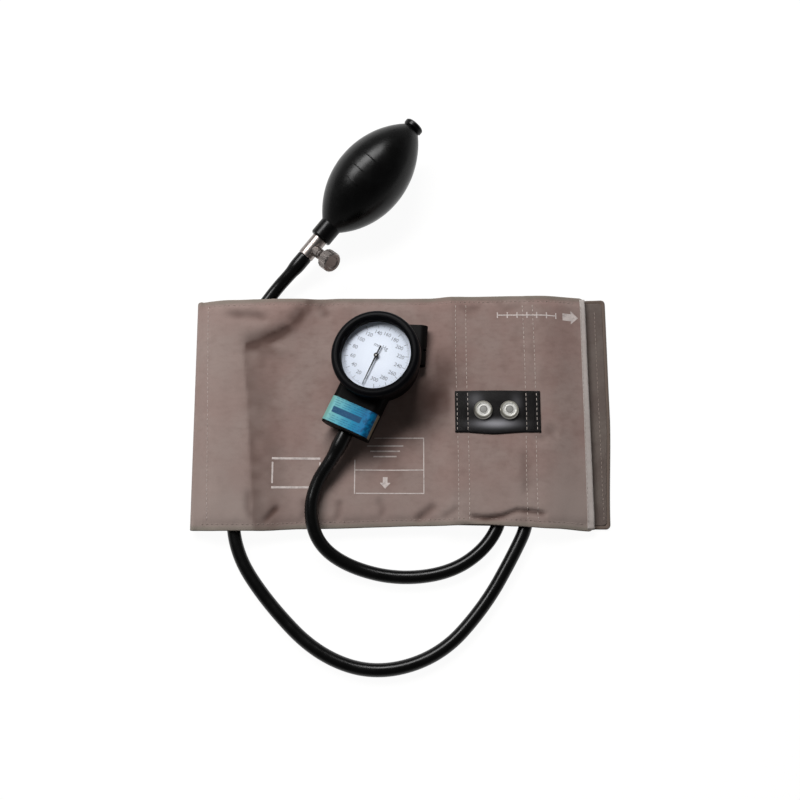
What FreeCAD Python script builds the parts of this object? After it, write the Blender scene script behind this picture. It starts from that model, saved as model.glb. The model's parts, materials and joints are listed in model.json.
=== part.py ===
# Aneroid sphygmomanometer at rest on a table: a dial gauge with its clip, an inflation bulb with its
# intake and release valves, two rubber hoses, and an arm cuff folded once over its bladder.
#
# Frame: millimetres, +Z up, the origin on the table at the centre of the cuff's underside. +X runs
# along the folded cuff, away from the fold, and +Y across it, towards the bulb.
#
# Three more frames hold the pieces: the gauge's (origin at the case back, +Z out of the dial, the neck
# towards -Y), the clip's (on its screw, +X towards the bend) and the bulb's (origin at the bulb's neck,
# +Z towards the intake end, -Y up).
import FreeCAD
import Part
import Sketcher
import math
import os
from types import SimpleNamespace

Vector = FreeCAD.Vector
Placement = FreeCAD.Placement
Rotation = FreeCAD.Rotation

SIZES = {
    # Cuff: cover and lining plies, and how high the upper half lies over the hoses and between them
    "cuff_width": 145.5,
    "cuff_reach": 116.0,
    "cuff_lower_reach": 128.0,
    "cuff_fold": 119.7,
    "cuff_fold_height": 8.0,
    "cover_thickness": 0.8,
    "lining_thickness": 0.6,
    "lining_setback": 2.0,
    "cuff_dip_height": 8.95,
    "cuff_edge_height": 6.0,
    "left_hump_near": 106.0,
    "left_hump_far": 78.0,
    "dip_left": 60.0,
    "dip_right": 20.0,
    "right_hump_near": 32.0,
    "right_hump_far": 88.0,
    "binding_width": 4.5,
    "binding_thickness": 0.4,
    # Bladder and the two ports that carry the hoses into it
    "bladder_thickness": 2.0,
    "bladder_wall": 0.7,
    "bladder_left": 104.0,
    "bladder_right": 86.0,
    "bladder_margin": 10.75,
    "port_inset": 18.0,
    "port_radius": 4.0,
    "port_stem_radius": 3.2,
    "port_flange_radius": 6.0,
    "port_flange_thickness": 0.5,
    "port_clearance": 0.2,
    "gauge_port_along": 61.5,
    "bulb_port_along": 76.5,
    # Clasp: stud patch on the cover, keyhole strip on the lining that it buttons to
    "patch_left": 33.3,
    "patch_length": 51.7,
    "patch_low": -14.0,
    "patch_width": 25.5,
    "patch_thickness": 1.6,
    "stud_first": 50.2,
    "stud_pitch": 15.8,
    "stud_line": -0.5,
    "stud_washer_radius": 5.7,
    "stud_washer_thickness": 0.6,
    "stud_cap_radius": 5.2,
    "stud_cap_height": 2.2,
    "stud_boss_radius": 2.7,
    "stud_stem_radius": 1.6,
    "stud_back_radius": 5.0,
    "stud_back_thickness": 0.5,
    "strip_left": 28.0,
    "strip_length": 84.0,
    "strip_width": 18.0,
    "strip_thickness": 1.0,
    "keyhole_count": 5.0,
    "keyhole_clearance": 0.5,
    # Hoses
    "hose_diameter": 8.0,
    "hose_gap": 0.05,
    "barb_radius": 2.4,
    "barb_length": 11.0,
    "air_bore": 1.0,
    # Gauge: place on the cuff, then the case
    "gauge_along": -11.0,
    "gauge_across": 27.6,
    "neck_heading": -25.5,
    "clip_heading": -4.0,
    "case_radius": 23.7,
    "case_round": 2.5,
    "case_floor": 2.2,
    "case_rim": 25.0,
    "case_wall": 3.1,
    "mouth_wall": 1.7,
    "neck_width": 29.9,
    "neck_bottom": 1.5,
    "neck_top": 16.8,
    "neck_round": 4.0,
    "neck_root": 15.0,
    "neck_end": 47.5,
    "seal_start": 31.0,
    "seal_length": 15.4,
    "seal_thickness": 0.25,
    "seal_drop": 7.5,
    "nipple_height": 7.5,
    "nipple_thread_radius": 3.0,
    "nipple_thread_length": 10.0,
    "nipple_flange_radius": 3.9,
    "nipple_flange_thickness": 1.2,
    "channel_radius": 0.8,
    "channel_height": 3.6,
    "channel_turn": 27.0,
    "manifold_width": 8.0,
    "manifold_height": 3.0,
    # Gauge: bezel, crystal, dial and pointer
    "bezel_wall": 2.65,
    "window_ledge": 0.7,
    "bezel_fit": 0.05,
    "bezel_skirt": 18.3,
    "bezel_top": 27.0,
    "bezel_round": 2.7,
    "bezel_groove": 0.5,
    "window_clearance": 0.2,
    "crystal_thickness": 1.5,
    "crystal_top": 25.4,
    "gasket_thickness": 0.6,
    "dial_thickness": 0.5,
    "dial_top": 20.2,
    "dial_hole": 1.0,
    "pointer_height": 21.4,
    "pointer_clearance": 2.1,
    "pointer_tail": 6.3,
    "pointer_thickness": 0.3,
    "pointer_hub_radius": 1.4,
    "pointer_hub_height": 0.9,
    # Gauge: capsule
    "capsule_clearance": 1.4,
    "capsule_height": 2.4,
    "capsule_sheet": 0.25,
    "stem_flange_thickness": 0.6,
    "stem_radius": 1.5,
    "anvil_radius": 2.0,
    "anvil_height": 0.2,
    # Gauge: movement
    "plate_clearance": 2.1,
    "bottom_plate": 14.0,
    "bottom_plate_thickness": 0.8,
    "top_plate": 18.7,
    "top_plate_thickness": 0.5,
    "pillar_inset": 2.0,
    "pillar_radius": 1.6,
    "pillar_start": 60.0,
    "screw_radius": 0.8,
    "screw_head_radius": 1.5,
    "screw_head_height": 0.4,
    "screw_clearance": 0.05,
    "arbor_radius": 0.4,
    "pivot_clearance": 0.03,
    "gear_module": 0.3,
    "pinion_teeth": 10.0,
    "sector_full_teeth": 70.0,
    "sector_cut_teeth": 14.0,
    "sector_bottom": 17.4,
    "sector_thickness": 0.7,
    "pointer_sweep": 340.0,
    "rocker_axis_height": 12.0,
    "rocker_short_arm": 3.0,
    "rocker_long_arm": 4.5,
    "rocker_radius": 0.5,
    "rocker_tip_radius": 0.45,
    "rocker_gap": 0.05,
    "tail_radius": 3.0,
    "tail_post_radius": 0.4,
    "push_pin_radius": 0.5,
    "hairspring_inner": 1.0,
    "hairspring_pitch": 0.7,
    "hairspring_strip": 0.12,
    "hairspring_height": 0.5,
    # Gauge: clip and its screw
    "clip_offset": 14.8,
    "clip_reach": 20.7,
    "clip_width": 25.0,
    "clip_sheet": 1.0,
    "clip_drop": 8.0,
    "clip_leg_end": 14.0,
    "clip_leg_angle": 8.1,
    "clip_plate_end": 9.0,
    "clip_play": 0.05,
    "clip_rest_gap": 0.65,
    "clip_screw_radius": 2.0,
    "clip_thread_radius": 1.5,
    "clip_thread_length": 4.5,
    "clip_head_radius": 3.4,
    "clip_head_height": 1.1,
    "clip_washer_thickness": 0.35,
    # Bulb: place and shell
    "bulb_along": -50.2,
    "bulb_across": 109.3,
    "bulb_heading": 50.0,
    "bulb_tilt": 8.0,
    "bulb_radius": 22.5,
    "bulb_belly": 49.0,
    "bulb_length": 94.0,
    "bulb_wall": 2.2,
    "bulb_collar_radius": 7.0,
    "bulb_collar_length": 10.7,
    "bulb_neck_bore": 4.2,
    "bulb_rim_radius": 6.3,
    "bulb_rim_length": 3.9,
    "bulb_rim_step": 0.9,
    "intake_bore": 4.0,
    # Intake valve
    "intake_length": 9.5,
    "intake_recess": 0.6,
    "ball_radius": 1.6,
    "ball_travel": 0.8,
    "ball_clearance": 0.35,
    "intake_hole": 0.9,
    "retainer_thickness": 1.2,
    "filter_thickness": 0.4,
    # Release valve, with the outlet check valve in its bulb side
    "valve_radius": 5.0,
    "valve_length": 14.5,
    "valve_tail_length": 9.0,
    "valve_boss_radius": 3.4,
    "valve_boss_height": 8.6,
    "valve_stem_line": 8.0,
    "knob_heading": -27.0,
    "outlet_bore": 2.9,
    "outlet_disc_radius": 2.5,
    "outlet_disc_thickness": 0.8,
    "outlet_travel": 0.9,
    "outlet_seat_thickness": 2.0,
    "outlet_wire": 0.3,
    "outlet_wire_start": 45.0,
    "stem_thread_radius": 1.9,
    "stem_fit": 0.05,
    "stem_tip": 1.9,
    "stem_groove_radius": 1.35,
    "ring_wire": 0.25,
    "ring_place": 6.4,
    "gland_radius": 3.0,
    "gland_height": 2.0,
    "knob_standoff": 3.8,
    "knob_length": 7.4,
    "knob_radius": 6.4,
    "knob_flutes": 18.0,
}

SHEET_NAME = "sizes"
TUBE_FIT = 0.45
VOLUME_TOLERANCE = 0.002


class Size:
    """A length, with the formula that binds it to the sheet."""

    def __init__(self, value, formula=None):
        self.value = float(value)
        self.formula = formula or f"({self.value:.9g})"

    @staticmethod
    def of(other):
        return other if isinstance(other, Size) else Size(other)

    def __add__(self, other):
        other = Size.of(other)
        return Size(self.value + other.value, f"({self.formula} + {other.formula})")

    __radd__ = __add__

    def __sub__(self, other):
        other = Size.of(other)
        return Size(self.value - other.value, f"({self.formula} - {other.formula})")

    def __rsub__(self, other):
        return Size.of(other) - self

    def __neg__(self):
        return Size(-self.value, f"(0 - {self.formula})")

    def __mul__(self, other):
        other = Size.of(other)
        return Size(self.value * other.value, f"({self.formula} * {other.formula})")

    __rmul__ = __mul__

    def __truediv__(self, other):
        other = Size.of(other)
        return Size(self.value / other.value, f"({self.formula} / {other.formula})")

    def __rtruediv__(self, other):
        return Size.of(other) / self

    def __float__(self):
        return self.value


def write_sheet(document):
    """Put the driving sizes in the sheet, and return them by name."""
    sheet = document.addObject("Spreadsheet::Sheet", SHEET_NAME)
    for row, (alias, value) in enumerate(SIZES.items(), start=1):
        sheet.set(f"A{row}", alias)
        sheet.set(f"B{row}", str(value))
        sheet.setAlias(f"B{row}", alias)
    document.recompute()
    return SimpleNamespace(**{alias: Size(value, f"{SHEET_NAME}.{alias}") for alias, value in SIZES.items()})


DOCUMENT = FreeCAD.newDocument("sphygmomanometer")
S = write_sheet(DOCUMENT)
ZERO, TWO, THREE, FOUR = (Size(count, str(count)) for count in (0, 2, 3, 4))


def sine(angle):
    return Size(math.sin(math.radians(angle.value)), f"sin({angle.formula} * 1deg)")


def cosine(angle):
    return Size(math.cos(math.radians(angle.value)), f"cos({angle.formula} * 1deg)")


def tangent(angle):
    return Size(math.tan(math.radians(angle.value)), f"tan({angle.formula} * 1deg)")


def root(size):
    return Size(math.sqrt(size.value), f"sqrt({size.formula})")


# ---------------------------------------------------------------- sketches and features


class Corner:
    """A corner of an outline. With a centre, the stretch that leaves it is an arc round that centre."""

    def __init__(self, across, up, centre=None, clockwise=False):
        self.across = Size.of(across)
        self.up = Size.of(up)
        self.centre = None if centre is None else (Size.of(centre[0]), Size.of(centre[1]))
        self.clockwise = clockwise

    @property
    def point(self):
        return Vector(self.across.value, self.up.value, 0)


def hold(sketch, kind, geometry, point, size):
    """Hold one coordinate of a sketch point at a size."""
    if abs(size.value) < 1e-9:
        sketch.addConstraint(Sketcher.Constraint("PointOnObject", geometry, point, -2 if kind == "DistanceX" else -1))
        return
    index = sketch.addConstraint(Sketcher.Constraint(kind, -1, 1, geometry, point, size.value))
    sketch.setExpression(f"Constraints[{index}]", size.formula)


def round_stretch(corner, after):
    """The arc from one corner to the next, which a sketch always holds anticlockwise."""
    centre = Vector(corner.centre[0].value, corner.centre[1].value, 0)
    begin, end = (after, corner) if corner.clockwise else (corner, after)
    angles = [math.atan2((at.point - centre).y, (at.point - centre).x) for at in (begin, end)]
    if angles[1] <= angles[0]:
        angles[1] += 2 * math.pi
    circle = Part.Circle(centre, Vector(0, 0, 1), (corner.point - centre).Length)
    return Part.ArcOfCircle(circle, angles[0], angles[1])


def outline(sketch, corners):
    """Close an outline through its corners, with every corner and arc centre tied to the sheet."""
    corners = [corner if isinstance(corner, Corner) else Corner(*corner) for corner in corners]
    ends = []
    for corner, after in zip(corners, corners[1:] + corners[:1]):
        stretch = round_stretch(corner, after) if corner.centre else Part.LineSegment(corner.point, after.point)
        geometry = sketch.addGeometry(stretch)
        ends.append((geometry, 2, 1) if corner.clockwise else (geometry, 1, 2))
    for (one, _, tail), (other, head, _) in zip(ends, ends[1:] + ends[:1]):
        sketch.addConstraint(Sketcher.Constraint("Coincident", one, tail, other, head))
    for (geometry, head, _), corner, after in zip(ends, corners, corners[1:] + corners[:1]):
        hold(sketch, "DistanceX", geometry, head, corner.across)
        hold(sketch, "DistanceY", geometry, head, corner.up)
        if corner.centre:
            chord = after.point - corner.point
            upright = abs(chord.y) > abs(chord.x)
            hold(sketch, "DistanceX" if upright else "DistanceY", geometry, 3, corner.centre[0 if upright else 1])


def ring(sketch, across, up, radius):
    """Draw a circle, with its centre and radius tied to the sheet."""
    centre = Vector(Size.of(across).value, Size.of(up).value, 0)
    geometry = sketch.addGeometry(Part.Circle(centre, Vector(0, 0, 1), radius.value))
    hold(sketch, "DistanceX", geometry, 3, Size.of(across))
    hold(sketch, "DistanceY", geometry, 3, Size.of(up))
    index = sketch.addConstraint(Sketcher.Constraint("Radius", geometry, radius.value))
    sketch.setExpression(f"Constraints[{index}]", radius.formula)


def box_corners(left, right, low, high):
    return [(left, low), (right, low), (right, high), (left, high)]


def rounded_box(left, right, low, high, radius):
    """The corners of a rectangle with round corners, anticlockwise from the bottom left."""
    return [
        Corner(left + radius, low),
        Corner(right - radius, low, (right - radius, low + radius)),
        Corner(right, low + radius),
        Corner(right, high - radius, (right - radius, high - radius)),
        Corner(right - radius, high),
        Corner(left + radius, high, (left + radius, high - radius)),
        Corner(left, high - radius),
        Corner(left, low + radius, (left + radius, low + radius)),
    ]


class Piece:
    """One sub-part: a PartDesign body in its frame, built feature by feature."""

    made = []

    def __init__(self, label, frame):
        self.body = DOCUMENT.addObject("PartDesign::Body", label)
        self.body.Label = label
        self.body.Placement = frame
        self.volume = 0.0
        Piece.made.append(self.body)

    def origin(self, role):
        return next(feature for feature in self.body.Origin.OriginFeatures if feature.Role == role)

    def sketch(self, plane, offset=None):
        """A sketch on one of the body's own planes, moved off it along its normal."""
        sketch = self.body.newObject("Sketcher::SketchObject", f"{self.body.Label}_sketch")
        sketch.AttachmentSupport = [(self.origin(plane), "")]
        sketch.MapMode = "FlatFace"
        if offset is not None:
            sketch.setExpression("AttachmentOffset.Base.z", Size.of(offset).formula)
        return sketch

    def feature(self, kind, sketch, length=None, symmetric=False, flip=False):
        """Add a sketched feature, and see that it added or took away material."""
        feature = self.body.newObject(f"PartDesign::{kind}", f"{self.body.Label}_{kind.lower()}")
        feature.Profile = sketch
        if length is None:
            feature.ReferenceAxis = (sketch, ["V_Axis"])
            feature.Angle = 360.0
        else:
            feature.setExpression("Length", Size.of(length).formula)
            feature.SideType = "Symmetric" if symmetric else "One side"
            feature.Reversed = flip
        self.settle(feature, takes=kind in ("Pocket", "Groove"))
        return feature

    def settle(self, feature, takes=False):
        DOCUMENT.recompute()
        volume = self.body.Shape.Volume
        if "Invalid" in feature.State or (volume >= self.volume if takes else volume <= self.volume):
            raise RuntimeError(f"{feature.Name} changed nothing: {feature.State}")
        self.volume = volume

    def revolve(self, corners, plane="XZ_Plane"):
        sketch = self.sketch(plane)
        outline(sketch, corners)
        return self.feature("Revolution", sketch)

    def groove(self, corners, plane="XZ_Plane"):
        sketch = self.sketch(plane)
        outline(sketch, corners)
        return self.feature("Groove", sketch)

    def pad(self, corners, length, plane="XY_Plane", offset=None, symmetric=False, flip=False):
        sketch = self.sketch(plane, offset)
        outline(sketch, corners)
        return self.feature("Pad", sketch, length, symmetric, flip)

    def pocket(self, corners, length, plane="XY_Plane", offset=None, symmetric=False, flip=False):
        sketch = self.sketch(plane, offset)
        outline(sketch, corners)
        return self.feature("Pocket", sketch, length, symmetric, flip)

    def disc(self, radius, length, at=(0, 0), plane="XY_Plane", offset=None, flip=False):
        sketch = self.sketch(plane, offset)
        ring(sketch, at[0], at[1], radius)
        return self.feature("Pad", sketch, length, flip=flip)

    def hole(self, radius, length, at=(0, 0), plane="XY_Plane", offset=None, flip=False):
        sketch = self.sketch(plane, offset)
        ring(sketch, at[0], at[1], radius)
        return self.feature("Pocket", sketch, length, flip=flip)

    def around(self, feature, count, sweep=None):
        """Repeat a feature round the body's Z axis."""
        pattern = self.body.newObject("PartDesign::PolarPattern", f"{self.body.Label}_round")
        pattern.Originals = [feature]
        pattern.Axis = (self.origin("Z_Axis"), [""])
        pattern.setExpression("Occurrences", count.formula)
        pattern.Angle = 360.0
        if sweep is not None:
            pattern.setExpression("Angle", sweep.formula)
        self.body.Tip = pattern
        self.settle(pattern, takes="pocket" in feature.Name)
        return pattern

    def along(self, feature, count, length, axis="X_Axis"):
        """Repeat a feature in a row along one of the body's axes."""
        pattern = self.body.newObject("PartDesign::LinearPattern", f"{self.body.Label}_row")
        pattern.Originals = [feature]
        pattern.Direction = (self.origin(axis), [""])
        pattern.setExpression("Occurrences", count.formula)
        pattern.setExpression("Length", length.formula)
        self.body.Tip = pattern
        self.settle(pattern, takes="pocket" in feature.Name)
        return pattern

    def soften(self, kind, radius, chosen):
        """Fillet or chamfer the edges that chosen picks from the body."""
        base = self.body.Tip
        names = [f"Edge{i + 1}" for i, edge in enumerate(base.Shape.Edges) if chosen(edge)]
        feature = self.body.newObject(f"PartDesign::{kind}", f"{self.body.Label}_{kind.lower()}")
        feature.Base = (base, names)
        feature.setExpression("Radius" if kind == "Fillet" else "Size", Size.of(radius).formula)
        DOCUMENT.recompute()
        if not names or "Invalid" in feature.State:
            raise RuntimeError(f"{feature.Name} found no edges it could follow")
        self.volume = self.body.Shape.Volume
        return feature


def shaped(label, shape, frame=Placement()):
    """A sub-part whose shape is worked out in code."""
    feature = DOCUMENT.addObject("Part::Feature", label)
    feature.Label = label
    feature.Shape = shape
    feature.Placement = frame
    Piece.made.append(feature)
    return feature


def turn(axis, degrees):
    return Placement(Vector(), Rotation(axis, degrees))


def shift(x, y, z):
    return Placement(Vector(float(x), float(y), float(z)), Rotation())


X_AXIS, Y_AXIS, Z_AXIS = Vector(1, 0, 0), Vector(0, 1, 0), Vector(0, 0, 1)

# ---------------------------------------------------------------- shared levels and frames

# Cuff, upwards from the table: cover, lining, hose, lining, bladder, cover
LINING_TOP = S.cover_thickness + S.lining_thickness
HOSE_RADIUS = S.hose_diameter / 2
HOSE_HEIGHT = LINING_TOP + S.hose_gap + HOSE_RADIUS
UPPER_LINING = HOSE_HEIGHT + HOSE_RADIUS + S.hose_gap
BLADDER_BOTTOM = UPPER_LINING + S.lining_thickness
HUMP_UNDERSIDE = BLADDER_BOTTOM + S.bladder_thickness
CUFF_TOP = HUMP_UNDERSIDE + S.cover_thickness
FOLD_RADIUS = S.cuff_fold_height / 2
BLADDER_WIDTH = S.cuff_width - 2 * S.bladder_margin
PORT_LINE = BLADDER_WIDTH / 2 - S.port_inset

# Gauge, inwards from the case: bores, the stack in its mouth, the bezel over its rim, and the movement
CASE_BORE = S.case_radius - S.case_wall
MOUTH_BORE = S.case_radius - S.mouth_wall
STACK_RADIUS = MOUTH_BORE - S.window_clearance
WINDOW_RADIUS = STACK_RADIUS - S.window_ledge
BEZEL_BORE = S.case_radius + S.bezel_fit
BEZEL_RADIUS = BEZEL_BORE + S.bezel_wall
POINTER_REACH = WINDOW_RADIUS - S.pointer_clearance
PLATE_RADIUS = CASE_BORE - S.plate_clearance
PILLAR_CIRCLE = PLATE_RADIUS - S.pillar_inset
CAPSULE_RADIUS = PILLAR_CIRCLE - S.pillar_radius - S.capsule_clearance

# Gauge, upwards from the case back: manifold, capsule, push pin, movement, dial, crystal
DIAL_BOTTOM = S.dial_top - S.dial_thickness
CRYSTAL_BOTTOM = S.crystal_top - S.crystal_thickness
GASKET_BOTTOM = CRYSTAL_BOTTOM - S.gasket_thickness
MANIFOLD_TOP = S.case_floor + S.manifold_height
CAPSULE_BOTTOM = MANIFOLD_TOP + S.stem_flange_thickness
CAPSULE_TOP = CAPSULE_BOTTOM + S.capsule_height
PLATE_GAP_BOTTOM = S.bottom_plate + S.bottom_plate_thickness

# Gear train: the sector turns the pinion, and the rocker's long arm turns the sector by its tail post
PINION_PITCH = S.gear_module * S.pinion_teeth / 2
SECTOR_PITCH = S.gear_module * S.sector_full_teeth / 2
GEAR_CENTRES = PINION_PITCH + SECTOR_PITCH
TAIL_STANDOFF = S.rocker_tip_radius + S.tail_post_radius + S.rocker_gap
SECTOR_ACROSS = S.rocker_short_arm + TAIL_STANDOFF
SECTOR_ALONG = -root(GEAR_CENTRES * GEAR_CENTRES - SECTOR_ACROSS * SECTOR_ACROSS)
SECTOR_SWEEP = S.pointer_sweep.value * S.pinion_teeth.value / S.sector_full_teeth.value
TAIL_THROW = S.tail_radius.value * math.sin(math.radians(SECTOR_SWEEP / 2))
ROCKER_SWEEP = 2 * math.degrees(math.asin(TAIL_THROW / S.rocker_long_arm.value))
PUSH_PIN_TRAVEL = S.rocker_short_arm.value * math.radians(ROCKER_SWEEP)
GEAR_HEADING = math.degrees(math.atan2(SECTOR_ACROSS.value, SECTOR_ALONG.value))

# Bulb: each half is one arc with its centre level with the belly
BULB_WAIST = S.bulb_rim_radius - S.bulb_rim_step
RIM_FOOT = S.bulb_length - S.bulb_rim_length


def arc_radius(fall, run):
    """The radius of an arc that leaves the belly level and comes in by fall over run."""
    return (fall * fall + run * run) / (2 * fall)


VALVE_CURVE = arc_radius(S.bulb_radius - S.bulb_collar_radius, S.bulb_belly - S.bulb_collar_length)
INTAKE_CURVE = arc_radius(S.bulb_radius - BULB_WAIST, RIM_FOOT - S.bulb_belly)
KNOB_START = S.valve_boss_height + S.gland_height + S.knob_standoff

# Clip, in its own frame
BEND_RADIUS = S.clip_drop / 2
BEND_ALONG = S.clip_reach - BEND_RADIUS
CLIP_BOTTOM = -(S.clip_play + S.clip_drop)
LEG_RISE = (BEND_ALONG + S.clip_leg_end) * tangent(S.clip_leg_angle)


def gauge_frame():
    """The gauge leans back on the leg of its clip, which lies flat on the cuff."""
    leg_below_screw = (CLIP_BOTTOM + BEND_ALONG * tangent(S.clip_leg_angle)) * cosine(S.clip_leg_angle)
    screw_height = S.cuff_dip_height + S.clip_rest_gap - leg_below_screw
    lean = turn(Z_AXIS, S.clip_heading.value) * turn(Y_AXIS, -S.clip_leg_angle.value)
    facing = lean * turn(Z_AXIS, S.neck_heading.value - S.clip_heading.value)
    screw = facing.multVec(Vector(0, S.clip_offset.value, 0))
    return shift(S.gauge_along, S.gauge_across, screw_height.value - screw.z) * facing


def bulb_frame():
    """The bulb lies on its belly, with its valve end tilted down."""
    tilt = math.radians(S.bulb_tilt.value)
    axis_up = S.bulb_belly.value * math.sin(tilt)
    belly_down = (VALVE_CURVE - S.bulb_radius).value * math.cos(tilt)
    height = VALVE_CURVE.value - axis_up - belly_down
    heading = math.radians(S.bulb_heading.value)
    level = Vector(math.cos(heading), math.sin(heading), 0)
    along = level * math.cos(tilt) + Z_AXIS * math.sin(tilt)
    side = Vector(level.y, -level.x, 0)
    return Placement(
        Vector(S.bulb_along.value, S.bulb_across.value, height),
        Rotation(side, Vector(), along, "ZXY"),
    )


TABLE = Placement()
GAUGE = gauge_frame()
CLIP = GAUGE * shift(0, S.clip_offset, 0) * turn(Z_AXIS, S.clip_heading.value - S.neck_heading.value)
BULB = bulb_frame()
STEM = BULB * shift(0, 0, -S.valve_stem_line) * turn(Z_AXIS, S.knob_heading.value) * turn(Y_AXIS, 90)
NIPPLE = GAUGE * shift(0, -S.neck_end, S.nipple_height) * turn(X_AXIS, 90)
PINION = GAUGE * turn(Z_AXIS, GEAR_HEADING)
SECTOR = GAUGE * shift(SECTOR_ALONG, SECTOR_ACROSS, 0) * turn(Z_AXIS, GEAR_HEADING - 180)
ROCKER = GAUGE * shift(0, S.rocker_short_arm, S.rocker_axis_height) * turn(X_AXIS, ROCKER_SWEEP / 2)

# ---------------------------------------------------------------- cuff


def upper_path(drop):
    """The upper half's line from the fold to its edge, a drop below the cover's top."""
    hump = CUFF_TOP - drop
    dip = S.cuff_dip_height - drop
    return [
        (-S.left_hump_near, hump),
        (-S.left_hump_far, hump),
        (-S.dip_left, dip),
        (S.dip_right, dip),
        (S.right_hump_near, hump),
        (S.right_hump_far, hump),
    ]


def outer_cover():
    """One ply of cloth, folded at the left over everything inside."""
    ply = Piece("outer_cover", TABLE)
    inner = S.cover_thickness
    centre = (-S.cuff_fold, FOLD_RADIUS)
    fold_top = S.cuff_fold_height - inner
    ply.pad(
        [
            (S.cuff_lower_reach, 0),
            (S.cuff_lower_reach, inner),
            Corner(-S.cuff_fold, inner, centre, clockwise=True),
            (-S.cuff_fold, fold_top),
            *upper_path(inner),
            (S.cuff_reach, S.cuff_edge_height - inner),
            (S.cuff_reach, S.cuff_edge_height),
            *reversed(upper_path(ZERO)),
            Corner(-S.cuff_fold, S.cuff_fold_height, centre),
            (-S.cuff_fold, 0),
        ],
        S.cuff_width,
        "XZ_Plane",
        symmetric=True,
    )


def inner_lining():
    """The skin-side ply inside the cover, with an eyelet for each port of the bladder."""
    ply = Piece("inner_lining", TABLE)
    outer = S.cover_thickness
    inner = outer + S.lining_thickness
    centre = (-S.cuff_fold, FOLD_RADIUS)
    under_bladder = outer + S.bladder_thickness
    end_top = S.cuff_edge_height - outer
    ply.pad(
        [
            (S.cuff_lower_reach - S.lining_setback, outer),
            (S.cuff_lower_reach - S.lining_setback, inner),
            Corner(-S.cuff_fold, inner, centre, clockwise=True),
            (-S.cuff_fold, S.cuff_fold_height - inner),
            *upper_path(under_bladder + S.lining_thickness),
            (S.cuff_reach - S.lining_setback, end_top - S.lining_thickness),
            (S.cuff_reach - S.lining_setback, end_top),
            *reversed(upper_path(under_bladder)),
            Corner(-S.cuff_fold, S.cuff_fold_height - outer, centre),
            (-S.cuff_fold, outer),
        ],
        S.cuff_width - S.lining_setback,
        "XZ_Plane",
        symmetric=True,
    )
    for along in (S.gauge_port_along, S.bulb_port_along):
        ply.hole(S.port_stem_radius + S.port_clearance, 4 * S.lining_thickness, (along, -PORT_LINE),
                 offset=BLADDER_BOTTOM + S.lining_thickness)


def bladder():
    """A flat rubber bag in the upper half, hollow between its two walls."""
    bag = Piece("bladder", TABLE)
    wall = S.bladder_wall

    def section(top, bottom, inset):
        left = (-S.bladder_left + inset, CUFF_TOP)
        right = (S.bladder_right - inset, CUFF_TOP)
        upper = [(x, z) for x, z in [left, *upper_path(ZERO)[1:5], right]]
        return [(x, z - bottom) for x, z in upper] + [(x, z - top) for x, z in reversed(upper)]

    top = S.cover_thickness
    bottom = top + S.bladder_thickness
    bag.pad(section(top, bottom, ZERO), BLADDER_WIDTH, "XZ_Plane", symmetric=True)
    bag.pocket(section(top + wall, bottom - wall, wall), BLADDER_WIDTH - 2 * wall, "XZ_Plane", symmetric=True)
    for along in (S.gauge_port_along, S.bulb_port_along):
        bag.hole(S.port_stem_radius, 1.5 * wall, (along, -PORT_LINE), offset=BLADDER_BOTTOM + wall)


def bladder_port(label, along):
    """An elbow: its flange sits inside the bladder, its barb runs into the hose."""
    frame = shift(along, -PORT_LINE, HOSE_HEIGHT)
    port = Piece(label, frame)
    flange_bottom = BLADDER_BOTTOM + S.bladder_wall - HOSE_HEIGHT
    barb_end = S.port_radius + S.barb_length
    port.disc(S.port_radius, 2 * HOSE_RADIUS, offset=-HOSE_RADIUS)
    port.disc(S.port_stem_radius, flange_bottom)
    port.disc(S.port_flange_radius, S.port_flange_thickness, offset=flange_bottom)
    port.disc(S.barb_radius, barb_end, plane="XZ_Plane")
    port.hole(S.air_bore, barb_end, plane="XZ_Plane", offset=barb_end)
    port.hole(S.air_bore, flange_bottom + S.port_flange_thickness, offset=flange_bottom + S.port_flange_thickness)


def edge_binding():
    """A tape folded round the upper half's free edge."""
    tape = Piece("edge_binding", TABLE)
    edge = S.cuff_reach
    back = edge - S.binding_width
    slope = (CUFF_TOP - S.cuff_edge_height) / (S.cuff_reach - S.right_hump_far)
    rise = slope * S.binding_width
    over = S.binding_thickness
    lower = S.cuff_edge_height - S.cover_thickness
    tape.pad(
        [
            (back, lower + rise - over),
            (edge + over, lower - over),
            (edge + over, S.cuff_edge_height + over),
            (back, S.cuff_edge_height + rise + over),
            (back, S.cuff_edge_height + rise),
            (edge, S.cuff_edge_height),
            (edge, lower),
            (back, lower + rise),
        ],
        S.cuff_width,
        "XZ_Plane",
        symmetric=True,
    )


# ---------------------------------------------------------------- clasp

PATCH_TOP = CUFF_TOP + S.patch_thickness
WASHER_TOP = PATCH_TOP + S.stud_washer_thickness


def stud_places(piece, feature):
    piece.along(feature, TWO, S.stud_pitch)


def stud_patch():
    """A leather patch on the cover, hollowed underneath for the stud backs."""
    patch = Piece("stud_patch", TABLE)
    right = S.patch_left + S.patch_length
    high = S.patch_low + S.patch_width
    patch.pad(box_corners(S.patch_left, right, S.patch_low, high), S.patch_thickness, offset=CUFF_TOP)
    first = (S.stud_first, S.stud_line)
    seat = patch.hole(S.stud_back_radius, S.stud_back_thickness, first, offset=CUFF_TOP, flip=True)
    stud_places(patch, seat)
    stem = patch.hole(S.stud_stem_radius, S.patch_thickness, first, offset=PATCH_TOP)
    stud_places(patch, stem)


def stud_washers():
    frame = shift(S.stud_first, S.stud_line, PATCH_TOP)
    washers = Piece("stud_washers", frame)
    washers.revolve(
        [
            (S.stud_stem_radius, 0),
            (S.stud_washer_radius, 0),
            (S.stud_washer_radius - S.stud_washer_thickness, S.stud_washer_thickness),
            (S.stud_stem_radius, S.stud_washer_thickness),
        ]
    )
    stud_places(washers, washers.body.Tip)


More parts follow.
